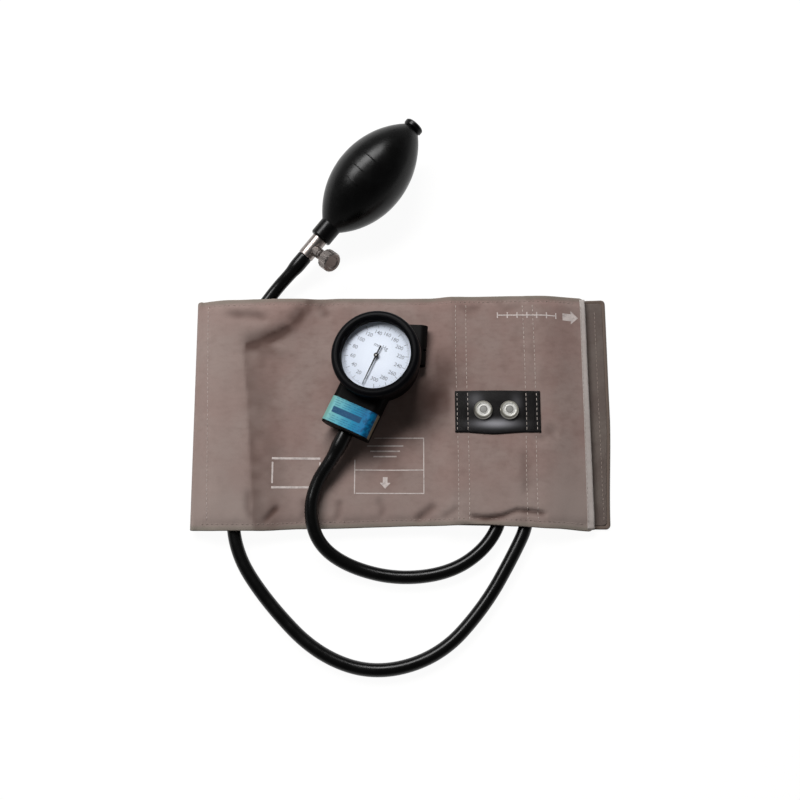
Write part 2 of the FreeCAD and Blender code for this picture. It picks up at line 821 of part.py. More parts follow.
def stud_caps():
    """The two domed heads that the keyholes button over, each with its stem."""
    frame = shift(S.stud_first, S.stud_line, WASHER_TOP)
    caps = Piece("stud_caps", frame)
    height = S.stud_cap_height
    neck = S.stud_cap_radius * 0.7
    dish = height * 0.35
    caps.revolve(
        [
            (0, CUFF_TOP + S.stud_back_thickness - WASHER_TOP),
            (S.stud_stem_radius, CUFF_TOP + S.stud_back_thickness - WASHER_TOP),
            (S.stud_stem_radius, 0),
            (neck, 0),
            (neck, height * 0.3),
            (S.stud_cap_radius, height * 0.55),
            (S.stud_cap_radius, height * 0.8),
            (S.stud_cap_radius * 0.9, height),
            (S.stud_cap_radius * 0.78, height),
            (S.stud_cap_radius * 0.7, height - dish),
            (S.stud_boss_radius, height - dish),
            (S.stud_boss_radius * 0.9, height - dish / 3),
            (0, height - dish / 4),
        ]
    )
    stud_places(caps, caps.body.Tip)


def stud_backs():
    frame = shift(S.stud_first, S.stud_line, CUFF_TOP)
    backs = Piece("stud_backs", frame)
    backs.disc(S.stud_back_radius - S.keyhole_clearance, S.stud_back_thickness)
    stud_places(backs, backs.body.Tip)


def keyhole_strip():
    """A strip on the lower lining, with a row of keyholes at the studs' pitch."""
    strip = Piece("keyhole_strip", TABLE)
    half = S.strip_width / 2
    right = S.strip_left + S.strip_length
    strip.pad(box_corners(S.strip_left, right, -half, half), S.strip_thickness, offset=LINING_TOP)
    top = LINING_TOP + S.strip_thickness
    span = S.stud_pitch * (S.keyhole_count - 1)
    first = S.strip_left + (S.strip_length - span) / 2
    entry = strip.hole(S.stud_cap_radius + S.keyhole_clearance, S.strip_thickness, (first, 0), offset=top)
    strip.along(entry, S.keyhole_count, span)
    slot = S.stud_stem_radius + S.keyhole_clearance
    reach = S.stud_cap_radius + 2 * slot
    tongue = strip.pocket(box_corners(first, first + reach, -slot, slot), S.strip_thickness, offset=top)
    strip.along(tongue, S.keyhole_count, span)


# ---------------------------------------------------------------- gauge: case and window


def gauge_case():
    """A cup with a square neck, cored from the nipple to the capsule at its centre."""
    case = Piece("gauge_case", GAUGE)
    radius = S.case_radius
    case.revolve(
        [
            (0, 0),
            Corner(radius - S.case_round, 0, (radius - S.case_round, S.case_round)),
            (radius, S.case_round),
            (radius, S.case_rim),
            (0, S.case_rim),
        ]
    )
    half = S.neck_width / 2
    neck = rounded_box(-half, half, S.neck_bottom, S.neck_top, S.neck_round)
    case.pad(neck, S.neck_end - S.neck_root, "XZ_Plane", S.neck_root)
    case.hole(CASE_BORE, S.case_rim - S.case_floor, offset=S.case_rim)
    case.hole(MOUTH_BORE, S.case_rim - DIAL_BOTTOM, offset=S.case_rim)
    bar = S.manifold_width / 2
    case.pad(box_corners(-bar, bar, -CASE_BORE, bar), S.manifold_height, offset=S.case_floor)
    case.disc(S.clip_head_radius, S.manifold_height, (0, S.clip_offset), offset=S.case_floor)
    case.hole(S.nipple_thread_radius, S.nipple_thread_length, (0, S.nipple_height), "XZ_Plane", S.neck_end)
    case.hole(S.channel_radius, S.neck_end - S.channel_turn, (0, S.nipple_height), "XZ_Plane", S.neck_end)
    fall = S.nipple_height - S.channel_height
    case.hole(S.channel_radius, fall, (0, -S.channel_turn), offset=S.nipple_height)
    case.hole(S.channel_radius, S.channel_turn, (0, S.channel_height), "XZ_Plane", flip=True)
    case.hole(S.stem_radius, MANIFOLD_TOP - S.channel_height, offset=MANIFOLD_TOP)
    case.hole(S.clip_thread_radius, S.clip_thread_length, (0, S.clip_offset), flip=True)
    angle = S.pillar_start
    place = (PILLAR_CIRCLE * cosine(angle), PILLAR_CIRCLE * sine(angle))
    tapped = case.hole(S.screw_radius, S.case_floor * 0.6, place, offset=S.case_floor)
    case.around(tapped, THREE)


def gauge_seal():
    """A foil band over the neck's top and shoulders."""
    seal = Piece("gauge_seal", GAUGE)
    inner = S.neck_width / 2
    outer = inner + S.seal_thickness
    top = S.neck_top + S.seal_thickness
    low = S.neck_top - S.seal_drop
    turn_in = inner - S.neck_round
    turn_up = S.neck_top - S.neck_round
    seal.pad(
        [
            (outer, low),
            Corner(outer, turn_up, (turn_in, turn_up)),
            (turn_in, top),
            Corner(-turn_in, top, (-turn_in, turn_up)),
            (-outer, turn_up),
            (-outer, low),
            (-inner, low),
            Corner(-inner, turn_up, (-turn_in, turn_up), clockwise=True),
            (-turn_in, S.neck_top),
            Corner(turn_in, S.neck_top, (turn_in, turn_up), clockwise=True),
            (inner, turn_up),
            (inner, low),
        ],
        S.seal_length,
        "XZ_Plane",
        S.seal_start,
    )


def gauge_nipple():
    """A barbed tube screwed into the neck, turned about the hose's axis."""
    nipple = Piece("gauge_nipple", NIPPLE)
    flange = S.nipple_flange_thickness
    end = flange + S.barb_length
    barb = S.barb_radius
    nipple.revolve(
        [
            (S.air_bore, -S.nipple_thread_length),
            (S.nipple_thread_radius, -S.nipple_thread_length),
            (S.nipple_thread_radius, 0),
            (S.nipple_flange_radius, 0),
            (S.nipple_flange_radius, flange),
            (barb, flange),
            (barb, end - 3),
            (barb + 0.4, end - 3),
            (barb - 0.4, end),
            (S.air_bore, end),
        ]
    )


def gauge_bezel():
    """A ring that snaps over the case rim: rounded outside, grooved, and sloping to the window."""
    bezel = Piece("gauge_bezel", GAUGE)
    shoulder = BEZEL_RADIUS - S.bezel_round
    groove_out = shoulder - S.bezel_groove
    groove_in = groove_out - S.bezel_groove
    round_centre = (shoulder, S.bezel_top - S.bezel_round)
    bezel.revolve(
        [
            (WINDOW_RADIUS, S.crystal_top),
            (BEZEL_BORE, S.crystal_top),
            (BEZEL_BORE, S.bezel_skirt),
            (BEZEL_RADIUS, S.bezel_skirt),
            Corner(BEZEL_RADIUS, S.bezel_top - S.bezel_round, round_centre),
            (shoulder, S.bezel_top),
            (groove_out, S.bezel_top),
            (groove_out, S.bezel_top - S.bezel_groove),
            (groove_in, S.bezel_top - S.bezel_groove),
            (groove_in, S.bezel_top - S.bezel_groove / 2),
            (WINDOW_RADIUS, S.crystal_top + S.bezel_groove),
        ]
    )


def window_ring(label, inner, bottom, top):
    ring_piece = Piece(label, GAUGE)
    outer = STACK_RADIUS
    ring_piece.revolve([(inner, bottom), (outer, bottom), (outer, top), (inner, top)])


def gauge_crystal():
    crystal = Piece("gauge_crystal", GAUGE)
    crystal.disc(STACK_RADIUS, S.crystal_thickness, offset=CRYSTAL_BOTTOM)


def dial_plate():
    dial = Piece("dial_plate", GAUGE)
    dial.disc(STACK_RADIUS, S.dial_thickness, offset=DIAL_BOTTOM)
    dial.hole(S.dial_hole, S.dial_thickness, offset=S.dial_top)


def pointer():
    """A thin tapered hand with a tail, on a hub pressed on the pinion arbor."""
    hand = Piece("pointer", GAUGE)
    hub_top = S.pointer_height + S.pointer_hub_height
    hand.disc(S.pointer_hub_radius, S.pointer_hub_height, offset=S.pointer_height)
    hand.pad(
        [
            (-0.18, -POINTER_REACH),
            (0.18, -POINTER_REACH),
            (0.45, 0),
            (0.35, S.pointer_tail),
            (-0.35, S.pointer_tail),
            (-0.45, 0),
        ],
        S.pointer_thickness,
        offset=S.pointer_height + S.pointer_thickness,
    )
    hand.hole(S.arbor_radius, S.pointer_hub_height, offset=hub_top)


# ---------------------------------------------------------------- gauge: capsule


def capsule_half(label, bottom, top, bore, boss):
    """A corrugated diaphragm, dished from its rim: the lower one round the stem, the upper one plain."""
    half = Piece(label, GAUGE)
    middle = (CAPSULE_BOTTOM + CAPSULE_TOP) / 2
    down = bottom < top
    face = CAPSULE_BOTTOM if down else CAPSULE_TOP
    sheet = S.capsule_sheet if down else -S.capsule_sheet
    wave = S.capsule_sheet if down else -S.capsule_sheet
    radii = [CAPSULE_RADIUS * share for share in (0.35, 0.45, 0.55, 0.65, 0.75)]
    outside = [(r, face + (wave if i % 2 else ZERO)) for i, r in enumerate(radii)]
    inside = [(r, z + sheet) for r, z in outside]
    rim = CAPSULE_RADIUS
    shoulder = rim * 0.93
    half.revolve(
        [
            (bore, face),
            *outside,
            (shoulder, face),
            (shoulder, middle - sheet),
            (rim, middle - sheet),
            (rim, middle),
            (shoulder - S.capsule_sheet, middle),
            (shoulder - S.capsule_sheet, face + sheet),
            *reversed(inside),
            (bore, face + sheet),
        ]
    )
    if boss:
        half.disc(S.anvil_radius, S.anvil_height, offset=CAPSULE_TOP)


def capsule_stem():
    """The threaded tube that holds the capsule on the manifold and feeds it."""
    stem = Piece("capsule_stem", GAUGE)
    bore = S.channel_radius * 0.75
    top = CAPSULE_BOTTOM + 2 * S.capsule_sheet
    stem.revolve(
        [
            (bore, S.channel_height + S.channel_radius),
            (S.stem_radius, S.channel_height + S.channel_radius),
            (S.stem_radius, MANIFOLD_TOP),
            (2 * S.stem_radius, MANIFOLD_TOP),
            (2 * S.stem_radius, CAPSULE_BOTTOM),
            (S.stem_radius, CAPSULE_BOTTOM),
            (S.stem_radius, top),
            (bore, top),
        ]
    )


def push_pin():
    """The short pin on the capsule's centre that lifts the rocker."""
    pin = Piece("push_pin", GAUGE)
    foot = CAPSULE_TOP + S.anvil_height
    pad_height = S.rocker_axis_height.value - 0.4 - 2 * S.rocker_gap.value - PUSH_PIN_TRAVEL / 2
    tip = Size(pad_height)
    radius = S.push_pin_radius
    pin.revolve(
        [
            (0, foot),
            (S.anvil_radius * 0.7, foot),
            (S.anvil_radius * 0.7, foot + 0.4),
            (radius, foot + 0.4),
            Corner(radius, tip - radius, (0, tip - radius)),
            (0, tip),
        ]
    )


# ---------------------------------------------------------------- gauge: movement


def pillar_place():
    return (PILLAR_CIRCLE * cosine(S.pillar_start), PILLAR_CIRCLE * sine(S.pillar_start))


def movement_plate(label, bottom, thickness):
    """A round plate with pivot holes for the pinion and sector arbors and three screw holes."""
    plate = Piece(label, GAUGE)
    top = bottom + thickness
    pivot = S.arbor_radius + S.pivot_clearance
    plate.disc(PLATE_RADIUS, thickness, offset=bottom)
    plate.hole(pivot, thickness, offset=top)
    plate.hole(pivot, thickness, (SECTOR_ALONG, SECTOR_ACROSS), offset=top)
    screw = plate.hole(S.screw_radius + S.screw_clearance, thickness, pillar_place(), offset=top)
    plate.around(screw, THREE)
    return plate


ARM_ALONG = SECTOR_ALONG + S.tail_radius
EAR_THICKNESS = Size(0.8)
LEFT_EAR = SECTOR_ALONG - 2
RIGHT_EAR = Size(1.6)


def bottom_plate():
    """The lower plate, with two lugs for the rocking shaft and a slot for its long arm."""
    plate = movement_plate("bottom_plate", S.bottom_plate, S.bottom_plate_thickness)
    shaft = S.rocker_short_arm
    plate.pocket(
        box_corners(ARM_ALONG - 1.5, ARM_ALONG + 1.5, shaft - 1.6, shaft + 1.6),
        S.bottom_plate_thickness,
        offset=PLATE_GAP_BOTTOM,
    )
    ear_low = S.rocker_axis_height - 2 * S.rocker_radius
    bore = S.rocker_radius + S.pivot_clearance
    for left in (LEFT_EAR, RIGHT_EAR):
        ear = box_corners(shaft - 1.2, shaft + 1.2, ear_low, S.bottom_plate)
        plate.pad(ear, EAR_THICKNESS, "YZ_Plane", left)
        plate.hole(bore, EAR_THICKNESS, (shaft, S.rocker_axis_height), "YZ_Plane", left + EAR_THICKNESS)
    stud_at = S.hairspring_inner + 5 * S.hairspring_pitch + 4 * S.hairspring_strip
    plate.disc(S.arbor_radius, 1.4, (stud_at, 0), offset=PLATE_GAP_BOTTOM)


def posts(label, bottom, top):
    """Three tubular spacers round the movement screws."""
    tubes = Piece(label, GAUGE)
    sketch = tubes.sketch("XY_Plane", bottom)
    ring(sketch, *pillar_place(), S.pillar_radius)
    ring(sketch, *pillar_place(), S.screw_radius + S.screw_clearance)
    one = tubes.feature("Pad", sketch, top - bottom)
    tubes.around(one, THREE)


def movement_screws():
    """Three long screws that clamp both plates and their spacers to the case floor."""
    screws = Piece("movement_screws", GAUGE)
    frame_top = S.top_plate + S.top_plate_thickness
    foot = S.case_floor * 0.4
    x, y = pillar_place()
    sketch = screws.sketch("XY_Plane", foot)
    ring(sketch, x, y, S.screw_radius)
    shank = screws.feature("Pad", sketch, frame_top - foot)
    screws.around(shank, THREE)
    sketch = screws.sketch("XY_Plane", frame_top)
    ring(sketch, x, y, S.screw_head_radius)
    head = screws.feature("Pad", sketch, S.screw_head_height)
    screws.around(head, THREE)


TOOTH_TIP = 0.9
TOOTH_ROOT = 1.2


def tooth_corners(pitch_radius):
    """One stub tooth about the X axis, thinner than its gap so that the mesh runs with backlash."""
    inner = pitch_radius - TOOTH_ROOT * S.gear_module - 0.05
    outer = pitch_radius + TOOTH_TIP * S.gear_module
    wide = 0.75 * S.gear_module
    narrow = 0.28 * S.gear_module
    return [(inner, -wide), (outer, -narrow), (outer, narrow), (inner, wide)]


def pinion_arbor():
    """The pointer's shaft, cut with ten teeth for the sector."""
    arbor = Piece("pinion_arbor", PINION)
    gear_bottom = S.sector_bottom - 0.1
    face = S.sector_thickness + 0.2
    arbor.disc(S.arbor_radius, S.pointer_height + S.pointer_hub_height - S.bottom_plate, offset=S.bottom_plate)
    arbor.disc(PINION_PITCH - TOOTH_ROOT * S.gear_module, face, offset=gear_bottom)
    tooth = arbor.pad(tooth_corners(PINION_PITCH), face, offset=gear_bottom)
    arbor.around(tooth, S.pinion_teeth)
    collar = PLATE_GAP_BOTTOM + 0.4
    arbor.disc(S.hairspring_inner, S.hairspring_height + 0.2, offset=collar)


def sector_gear():
    """A toothed fan on its arbor, with the tail post that the rocker pushes."""
    gear = Piece("sector_gear", SECTOR)
    pitch = 360 / S.sector_full_teeth
    root_radius = SECTOR_PITCH - TOOTH_ROOT * S.gear_module
    first = 1.5 * pitch
    upper = first + 0.6 * pitch
    lower = first - (S.sector_cut_teeth - 0.4) * pitch
    hub = 3 * S.arbor_radius
    fan = [
        (-0.3, 0),
        Corner(root_radius * cosine(lower), root_radius * sine(lower), (0, 0)),
        (root_radius * cosine(upper), root_radius * sine(upper)),
    ]
    gear.pad(fan, S.sector_thickness, offset=S.sector_bottom)
    gear.disc(hub, S.sector_thickness, offset=S.sector_bottom)
    sketch = gear.sketch("XY_Plane", S.sector_bottom)
    sketch.setExpression("AttachmentOffset.Rotation.Angle", first.formula)
    outline(sketch, tooth_corners(SECTOR_PITCH))
    tooth = gear.feature("Pad", sketch, S.sector_thickness)
    pattern = gear.around(tooth, S.sector_cut_teeth, (S.sector_cut_teeth - 1) * pitch)
    pattern.Reversed = True
    DOCUMENT.recompute()
    gear.volume = gear.body.Shape.Volume
    top = S.top_plate + S.top_plate_thickness
    gear.disc(S.arbor_radius, top - S.bottom_plate, offset=S.bottom_plate)
    post = math.radians(180 - GEAR_HEADING - SECTOR_SWEEP / 2)
    place = (S.tail_radius * math.cos(post), S.tail_radius * math.sin(post))
    post_bottom = S.rocker_axis_height + S.rocker_long_arm * 0.8
    gear.disc(S.tail_post_radius, S.sector_bottom - post_bottom, place, offset=post_bottom)


def rocking_shaft():
    """A shaft across the movement: the push pin lifts its short arm, its long arm swings the sector."""
    rocker = Piece("rocking_shaft", ROCKER)
    end = RIGHT_EAR + EAR_THICKNESS + 0.4
    start = LEFT_EAR - 0.4
    rocker.disc(S.rocker_radius, end - start, plane="YZ_Plane", offset=start)
    rocker.pad(box_corners(-0.7, 0.7, -(S.rocker_short_arm + 0.6), 0), 0.8, offset=-0.4)
    arm = S.rocker_long_arm
    rocker.pad(box_corners(-0.3, 0.3, 0, arm), 1.4, "YZ_Plane", ARM_ALONG - 0.7)
    rocker.disc(S.rocker_tip_radius, 1.8, (0, arm), "YZ_Plane", ARM_ALONG - 0.9)


def half_circles(radius, pitch, count, centre_shift):
    """Half circles that spiral outwards, starting on the +X side."""
    arcs = []
    for k in range(count):
        size = radius + k * pitch / 2
        centre = Vector(centre_shift if k % 2 else 0, 0, 0)
        side = -1 if k % 2 else 1
        begin, end = centre + Vector(side * size, 0, 0), centre - Vector(side * size, 0, 0)
        arcs.append(Part.Arc(begin, centre + Vector(0, side * size, 0), end))
    return arcs


def hairspring():
    """A flat spiral strip from the pinion arbor's collar to a stud on the lower plate."""
    pitch, strip = S.hairspring_pitch.value, S.hairspring_strip.value
    inner = S.hairspring_inner.value
    inside = half_circles(inner, pitch, 10, pitch / 2)
    outside = half_circles(inner + strip, pitch, 10, pitch / 2)
    ends = [
        Part.LineSegment(inside[0].StartPoint, outside[0].StartPoint),
        Part.LineSegment(inside[-1].EndPoint, outside[-1].EndPoint),
    ]
    edges = [curve.toShape() for curve in inside + outside + ends]
    wire = Part.Wire(Part.__sortEdges__(edges))
    strip_shape = Part.Face(wire).extrude(Vector(0, 0, S.hairspring_height.value))
    shaped("hairspring", strip_shape, GAUGE * shift(0, 0, PLATE_GAP_BOTTOM + 0.5))


# ---------------------------------------------------------------- gauge: clip


def gauge_clip():
    """A spring-steel strap bent back under itself, with a notch in its bend."""
    clip = Piece("gauge_clip", CLIP)
    sheet = S.clip_sheet
    top = -S.clip_play
    bend = (BEND_ALONG, top - BEND_RADIUS)
    leg_low = CLIP_BOTTOM + LEG_RISE
    clip.pad(
        [
            (-S.clip_plate_end, top - sheet),
            Corner(BEND_ALONG, top - sheet, bend, clockwise=True),
            (BEND_ALONG, CLIP_BOTTOM + sheet),
            (-S.clip_leg_end, leg_low + sheet),
            (-S.clip_leg_end, leg_low),
            Corner(BEND_ALONG, CLIP_BOTTOM, bend),
            (BEND_ALONG, top),
            (-S.clip_plate_end, top),
        ],
        S.clip_width,
        "XZ_Plane",
        symmetric=True,
    )
    notch = S.clip_width * 0.1
    clip.pocket(
        box_corners(S.clip_reach - 1.6, S.clip_reach + 1, -notch - 1.4, -notch),
        2 * S.clip_drop,
        offset=1,
    )
    clip.hole(S.clip_screw_radius + S.clip_play, 2 * sheet)
    clip.soften("Fillet", 2.5, is_clip_corner)


def is_clip_corner(edge):
    """The upright edges at the four outer corners of the plate and the leg."""
    box = edge.BoundBox
    upright = box.ZLength > 0.9 and box.XLength < 0.2 and box.YLength < 0.01
    outer = abs(abs(box.Center.y) - S.clip_width.value / 2) < 0.01
    return upright and outer and box.Center.x < 0


def clip_screw():
    """A shouldered screw that the clip swings on."""
    screw = Piece("clip_screw", GAUGE * shift(0, S.clip_offset, 0))
    shoulder = S.clip_sheet + 3 * S.clip_play + S.clip_washer_thickness
    screw.revolve(
        [
            (0, -shoulder - S.clip_head_height),
            (S.clip_head_radius, -shoulder - S.clip_head_height),
            (S.clip_head_radius, -shoulder),
            (S.clip_screw_radius, -shoulder),
            (S.clip_screw_radius, 0),
            (S.clip_thread_radius, 0),
            (S.clip_thread_radius, S.clip_thread_length),
            (0, S.clip_thread_length),
        ]
    )
    slot = Size(0.4)
    low = -shoulder - S.clip_head_height
    screw.pocket(box_corners(-S.clip_head_radius, S.clip_head_radius, -slot, slot), 0.5, offset=low, flip=True)


def clip_washer():
    washer = Piece("clip_washer", GAUGE * shift(0, S.clip_offset, 0))
    low = -(S.clip_sheet + 3 * S.clip_play + S.clip_washer_thickness)
    inner = S.clip_screw_radius + S.clip_play
    washer.revolve(
        [
            (inner, low),
            (S.clip_head_radius, low),
            (S.clip_head_radius, low + S.clip_washer_thickness),
            (inner, low + S.clip_washer_thickness),
        ]
    )


# ---------------------------------------------------------------- bulb and intake valve


def bulb_outline(inset):
    """The belly's two arcs, moved in by an inset, as (valve end, belly, intake end) with centres."""
    belly = S.bulb_belly
    return (
        belly,
        S.bulb_radius - inset,
        (S.bulb_radius - VALVE_CURVE, belly),
        VALVE_CURVE - inset,
        (S.bulb_radius - INTAKE_CURVE, belly),
        INTAKE_CURVE - inset,
    )


def on_curve(centre, curve, radius):
    """How far from the belly a curve has come down to a radius."""
    fall = radius - centre[0]
    return root(curve * curve - fall * fall)


def bulb_shell():
    """The rubber bulb: a collar, two arcs to and from the belly, and a rolled rim; hollow inside."""
    bulb = Piece("bulb_shell", BULB)
    belly, radius, valve_centre, _, intake_centre, _ = bulb_outline(ZERO)
    collar = S.bulb_collar_radius
    rim = S.bulb_rim_radius
    length = S.bulb_length
    bulb.revolve(
        [
            (0, 0),
            (collar - 0.6, 0),
            (collar, 1),
            Corner(collar, S.bulb_collar_length, valve_centre),
            Corner(radius, belly, intake_centre),
            (BULB_WAIST, RIM_FOOT),
            (rim, RIM_FOOT + S.bulb_rim_step),
            (rim, length - 0.8),
            (rim - 0.8, length),
            (0, length),
        ]
    )
    _, hollow, valve_centre, valve_curve, intake_centre, intake_curve = bulb_outline(S.bulb_wall)
    neck_bore = S.bulb_neck_bore
    intake_bore = S.intake_bore
    valve_end = belly - on_curve(valve_centre, valve_curve, neck_bore)
    intake_end = belly + on_curve(intake_centre, intake_curve, intake_bore)
    bulb.groove(
        [
            (0, 0),
            (neck_bore, 0),
            Corner(neck_bore, valve_end, valve_centre),
            Corner(hollow, belly, intake_centre),
            (intake_bore, intake_end),
            (intake_bore, length),
            (0, length),
        ]
    )


INTAKE_TOP = S.bulb_length - S.intake_recess
INTAKE_BOTTOM = INTAKE_TOP - S.intake_length
RETAINER_TOP = INTAKE_BOTTOM + S.retainer_thickness
BALL_HEIGHT = RETAINER_TOP + S.ball_radius + 0.05
BALL_ROOM = S.ball_radius + S.ball_clearance


def intake_seat_height():
    """Where the seat's mouth starts, so that the ball meets its 45 degree cone at the end of its travel."""
    contact = BALL_HEIGHT + S.ball_travel + S.ball_radius * (math.sqrt(2) / 2)
    contact_radius = S.ball_radius * (math.sqrt(2) / 2)
    return contact - (BALL_ROOM - contact_radius) + 0.05


def intake_valve_body():
    """A turned insert: ball chamber, conical seat, air hole and filter recess."""
    insert = Piece("intake_valve_body", BULB)
    outer = S.intake_bore
    seat = intake_seat_height()
    throat = seat + BALL_ROOM - S.intake_hole
    recess = INTAKE_TOP - 2 * S.filter_thickness
    insert.revolve(
        [
            (BALL_ROOM, RETAINER_TOP),
            (outer - 0.9, RETAINER_TOP),
            (outer - 0.9, INTAKE_BOTTOM),
            (outer, INTAKE_BOTTOM),
            (outer, INTAKE_TOP),
            (outer - 1, INTAKE_TOP),
            (outer - 1, recess),
            (S.intake_hole, recess),
            (S.intake_hole, throat),
            (BALL_ROOM, seat),
        ]
    )


def intake_ball():
    frame = BULB * shift(0, 0, BALL_HEIGHT)
    ball = DOCUMENT.addObject("Part::Sphere", "intake_ball")
    ball.Label = "intake_ball"
    ball.setExpression("Radius", S.ball_radius.formula)
    ball.Placement = frame
    Piece.made.append(ball)


def intake_retainer():
    """A perforated disc that keeps the ball in its chamber."""
    disc = Piece("intake_retainer", BULB)
    radius = S.intake_bore - 0.9
    disc.disc(radius, S.retainer_thickness, offset=INTAKE_BOTTOM)
    vent = disc.hole(S.intake_hole * 0.6, S.retainer_thickness, (radius * 0.55, 0), offset=RETAINER_TOP)
    disc.around(vent, FOUR)


def intake_filter():
    mesh = Piece("intake_filter", BULB)
    mesh.disc(S.intake_bore - 1, S.filter_thickness, offset=INTAKE_TOP - 2 * S.filter_thickness)


# ---------------------------------------------------------------- release valve

VALVE_END = -S.valve_length
TAIL_TOP = S.valve_tail_length
SEAT_BOTTOM = TAIL_TOP - S.outlet_seat_thickness
DISC_BOTTOM = SEAT_BOTTOM - S.outlet_disc_thickness - 0.03
SPRING_FOOT = DISC_BOTTOM - S.outlet_travel - 3.2
STEM_BORE = S.stem_thread_radius + S.stem_fit


def release_valve_body():
    """A turned tube between bulb and hose, with a side boss for the release stem."""
    valve = Piece("release_valve_body", BULB)
    tail = S.bulb_neck_bore
    barb = S.barb_radius
    hose_end = VALVE_END - S.barb_length
    valve.revolve(
        [
            (S.air_bore, hose_end),
            (barb - 0.4, hose_end),
            (barb + 0.4, hose_end + 3),
            (barb, hose_end + 3),
            (barb, VALVE_END),
            (S.valve_radius - 0.4, VALVE_END),
            (S.valve_radius, VALVE_END + 0.4),
            (S.valve_radius, -0.4),
            (S.valve_radius - 0.4, 0),
            (tail, 0),
            (tail, TAIL_TOP),
            (S.outlet_bore, TAIL_TOP),
            (S.outlet_bore, SPRING_FOOT),
            (S.air_bore, SPRING_FOOT),
        ]
    )
    swing = Rotation(Y_AXIS, S.knob_heading.value)
    for kind, radius, start, length in (
        ("Pad", S.valve_boss_radius, S.air_bore + 1, S.valve_boss_height - S.air_bore - 1),
        ("Pocket", STEM_BORE, S.valve_boss_height, S.valve_boss_height - S.stem_tip),
        ("Pocket", S.air_bore * 0.8, S.valve_boss_height, S.valve_boss_height),
    ):
        sketch = valve.sketch("YZ_Plane")
        sketch.AttachmentOffset = Placement(swing.multVec(Vector(0, 0, start.value)), swing)
        ring(sketch, 0, -S.valve_stem_line, radius)
        valve.feature(kind, sketch, length)


def release_stem():
    """A threaded spindle: its cone closes the vent, a groove near its middle carries the seal ring."""
    stem = Piece("release_stem", STEM)
    radius = S.stem_thread_radius
    tip = S.stem_tip + 0.1
    groove = S.stem_groove_radius
    low = S.ring_place - 2 * S.ring_wire
    high = S.ring_place + 2 * S.ring_wire
    stem.revolve(
        [
            (0, tip),
            (radius * 0.45, tip),
            (radius, tip + radius * 0.55),
            (radius, low),
            (groove, low),
            (groove, high),
            (radius, high),
            (radius, KNOB_START + 1),
            (0, KNOB_START + 1),
        ]
    )


def stem_ring():
    """The rubber ring that seals the spindle in its bore."""
    seal = Piece("stem_ring", STEM)
    wire = S.ring_wire
    middle = S.stem_groove_radius + 0.03 + wire
    seal.revolve(
        [
            Corner(middle, S.ring_place - wire, (middle, S.ring_place)),
            Corner(middle, S.ring_place + wire, (middle, S.ring_place)),
        ]
    )


def gland_nut():
    """The nut on the boss that the spindle turns in."""
    nut = Piece("gland_nut", STEM)
    bottom = S.valve_boss_height
    nut.revolve(
        [
            (STEM_BORE, bottom),
            (S.gland_radius, bottom),
            (S.gland_radius, bottom + S.gland_height - 0.5),
            (S.gland_radius - 0.5, bottom + S.gland_height),
            (STEM_BORE, bottom + S.gland_height),
        ]
    )


def release_knob():
    """A fluted knob pressed on the spindle, with a shallow dish in its face."""
    knob = Piece("release_knob", STEM)
    start = KNOB_START
    end = start + S.knob_length
    radius = S.knob_radius
    knob.revolve(
        [
            (0, start + 1),
            (S.stem_thread_radius, start + 1),
            (S.stem_thread_radius, start),
            (radius - 1.2, start),
            (radius, start + 0.9),
            (radius, end - 0.9),
            (radius - 0.9, end),
            (radius * 0.62, end),
            (radius * 0.55, end - 0.5),
            (0, end - 0.5),
        ]
    )
    flute = knob.hole(Size(0.55), S.knob_length, (radius + 0.15, 0), offset=end)
    knob.around(flute, S.knob_flutes)


def outlet_seat():
    """A ring pressed in the valve's mouth: the outlet disc closes against it."""
    seat = Piece("outlet_seat", BULB)
    seat.revolve(
        [
            (S.air_bore, SEAT_BOTTOM),
            (S.outlet_bore, SEAT_BOTTOM),
            (S.outlet_bore, TAIL_TOP),
            (S.air_bore * 1.6, TAIL_TOP),
        ]
    )


def outlet_disc():
    disc = Piece("outlet_disc", BULB)
    disc.disc(S.outlet_disc_radius, S.outlet_disc_thickness, offset=DISC_BOTTOM)


def outlet_spring():
    """A light coil spring that holds the outlet disc shut."""
    wire = S.outlet_wire.value
    height = (DISC_BOTTOM - SPRING_FOOT).value - wire - 0.1
    radius = S.outlet_disc_radius.value - wire
    turns = 4
    path = Part.makeHelix(height / turns, height, radius)
    section = Part.Wire(Part.makeCircle(wire / 2, Vector(radius, 0, 0), Y_AXIS))
    coil = Part.Wire(path.Edges).makePipeShell([section], True, True)
    place = shift(0, 0, SPRING_FOOT.value + wire / 2 + 0.05) * turn(Z_AXIS, S.outlet_wire_start.value)
    shaped("outlet_spring", coil, BULB * place)


# ---------------------------------------------------------------- hoses

UNDER = HOSE_HEIGHT.value
TABLE_HEIGHT = (HOSE_RADIUS + S.hose_gap).value
OVER = (S.cuff_dip_height + HOSE_RADIUS).value
FRONT = -S.cuff_width.value / 2
BACK = S.cuff_width.value / 2
PORT_FACE = -(PORT_LINE + S.port_radius).value


def gauge_hose_route():
    """From its port under the upper half, out on the table, and back over the cuff to the nipple."""
    port = S.gauge_port_along.value
    return [
        Vector(port, PORT_FACE, UNDER),
        Vector(port + 0.5, FRONT + 9.25, UNDER),
        Vector(port - 11.0, FRONT - 10.75, UNDER),
        Vector(29.0, FRONT - 24.5, TABLE_HEIGHT),
        Vector(-1.5, FRONT - 28.0, TABLE_HEIGHT + 0.1),
        Vector(-30.0, FRONT - 21.0, TABLE_HEIGHT + 0.75),
        Vector(-48.0, FRONT - 8.5, OVER - 0.55),
        Vector(-53.5, FRONT + 10.75, OVER + 2.35),
        Vector(-49.5, FRONT + 28.75, OVER + 1.95),
        NIPPLE.multVec(Vector(0, 0, S.nipple_flange_thickness.value + 15)),
        NIPPLE.multVec(Vector(0, 0, S.nipple_flange_thickness.value)),
    ]


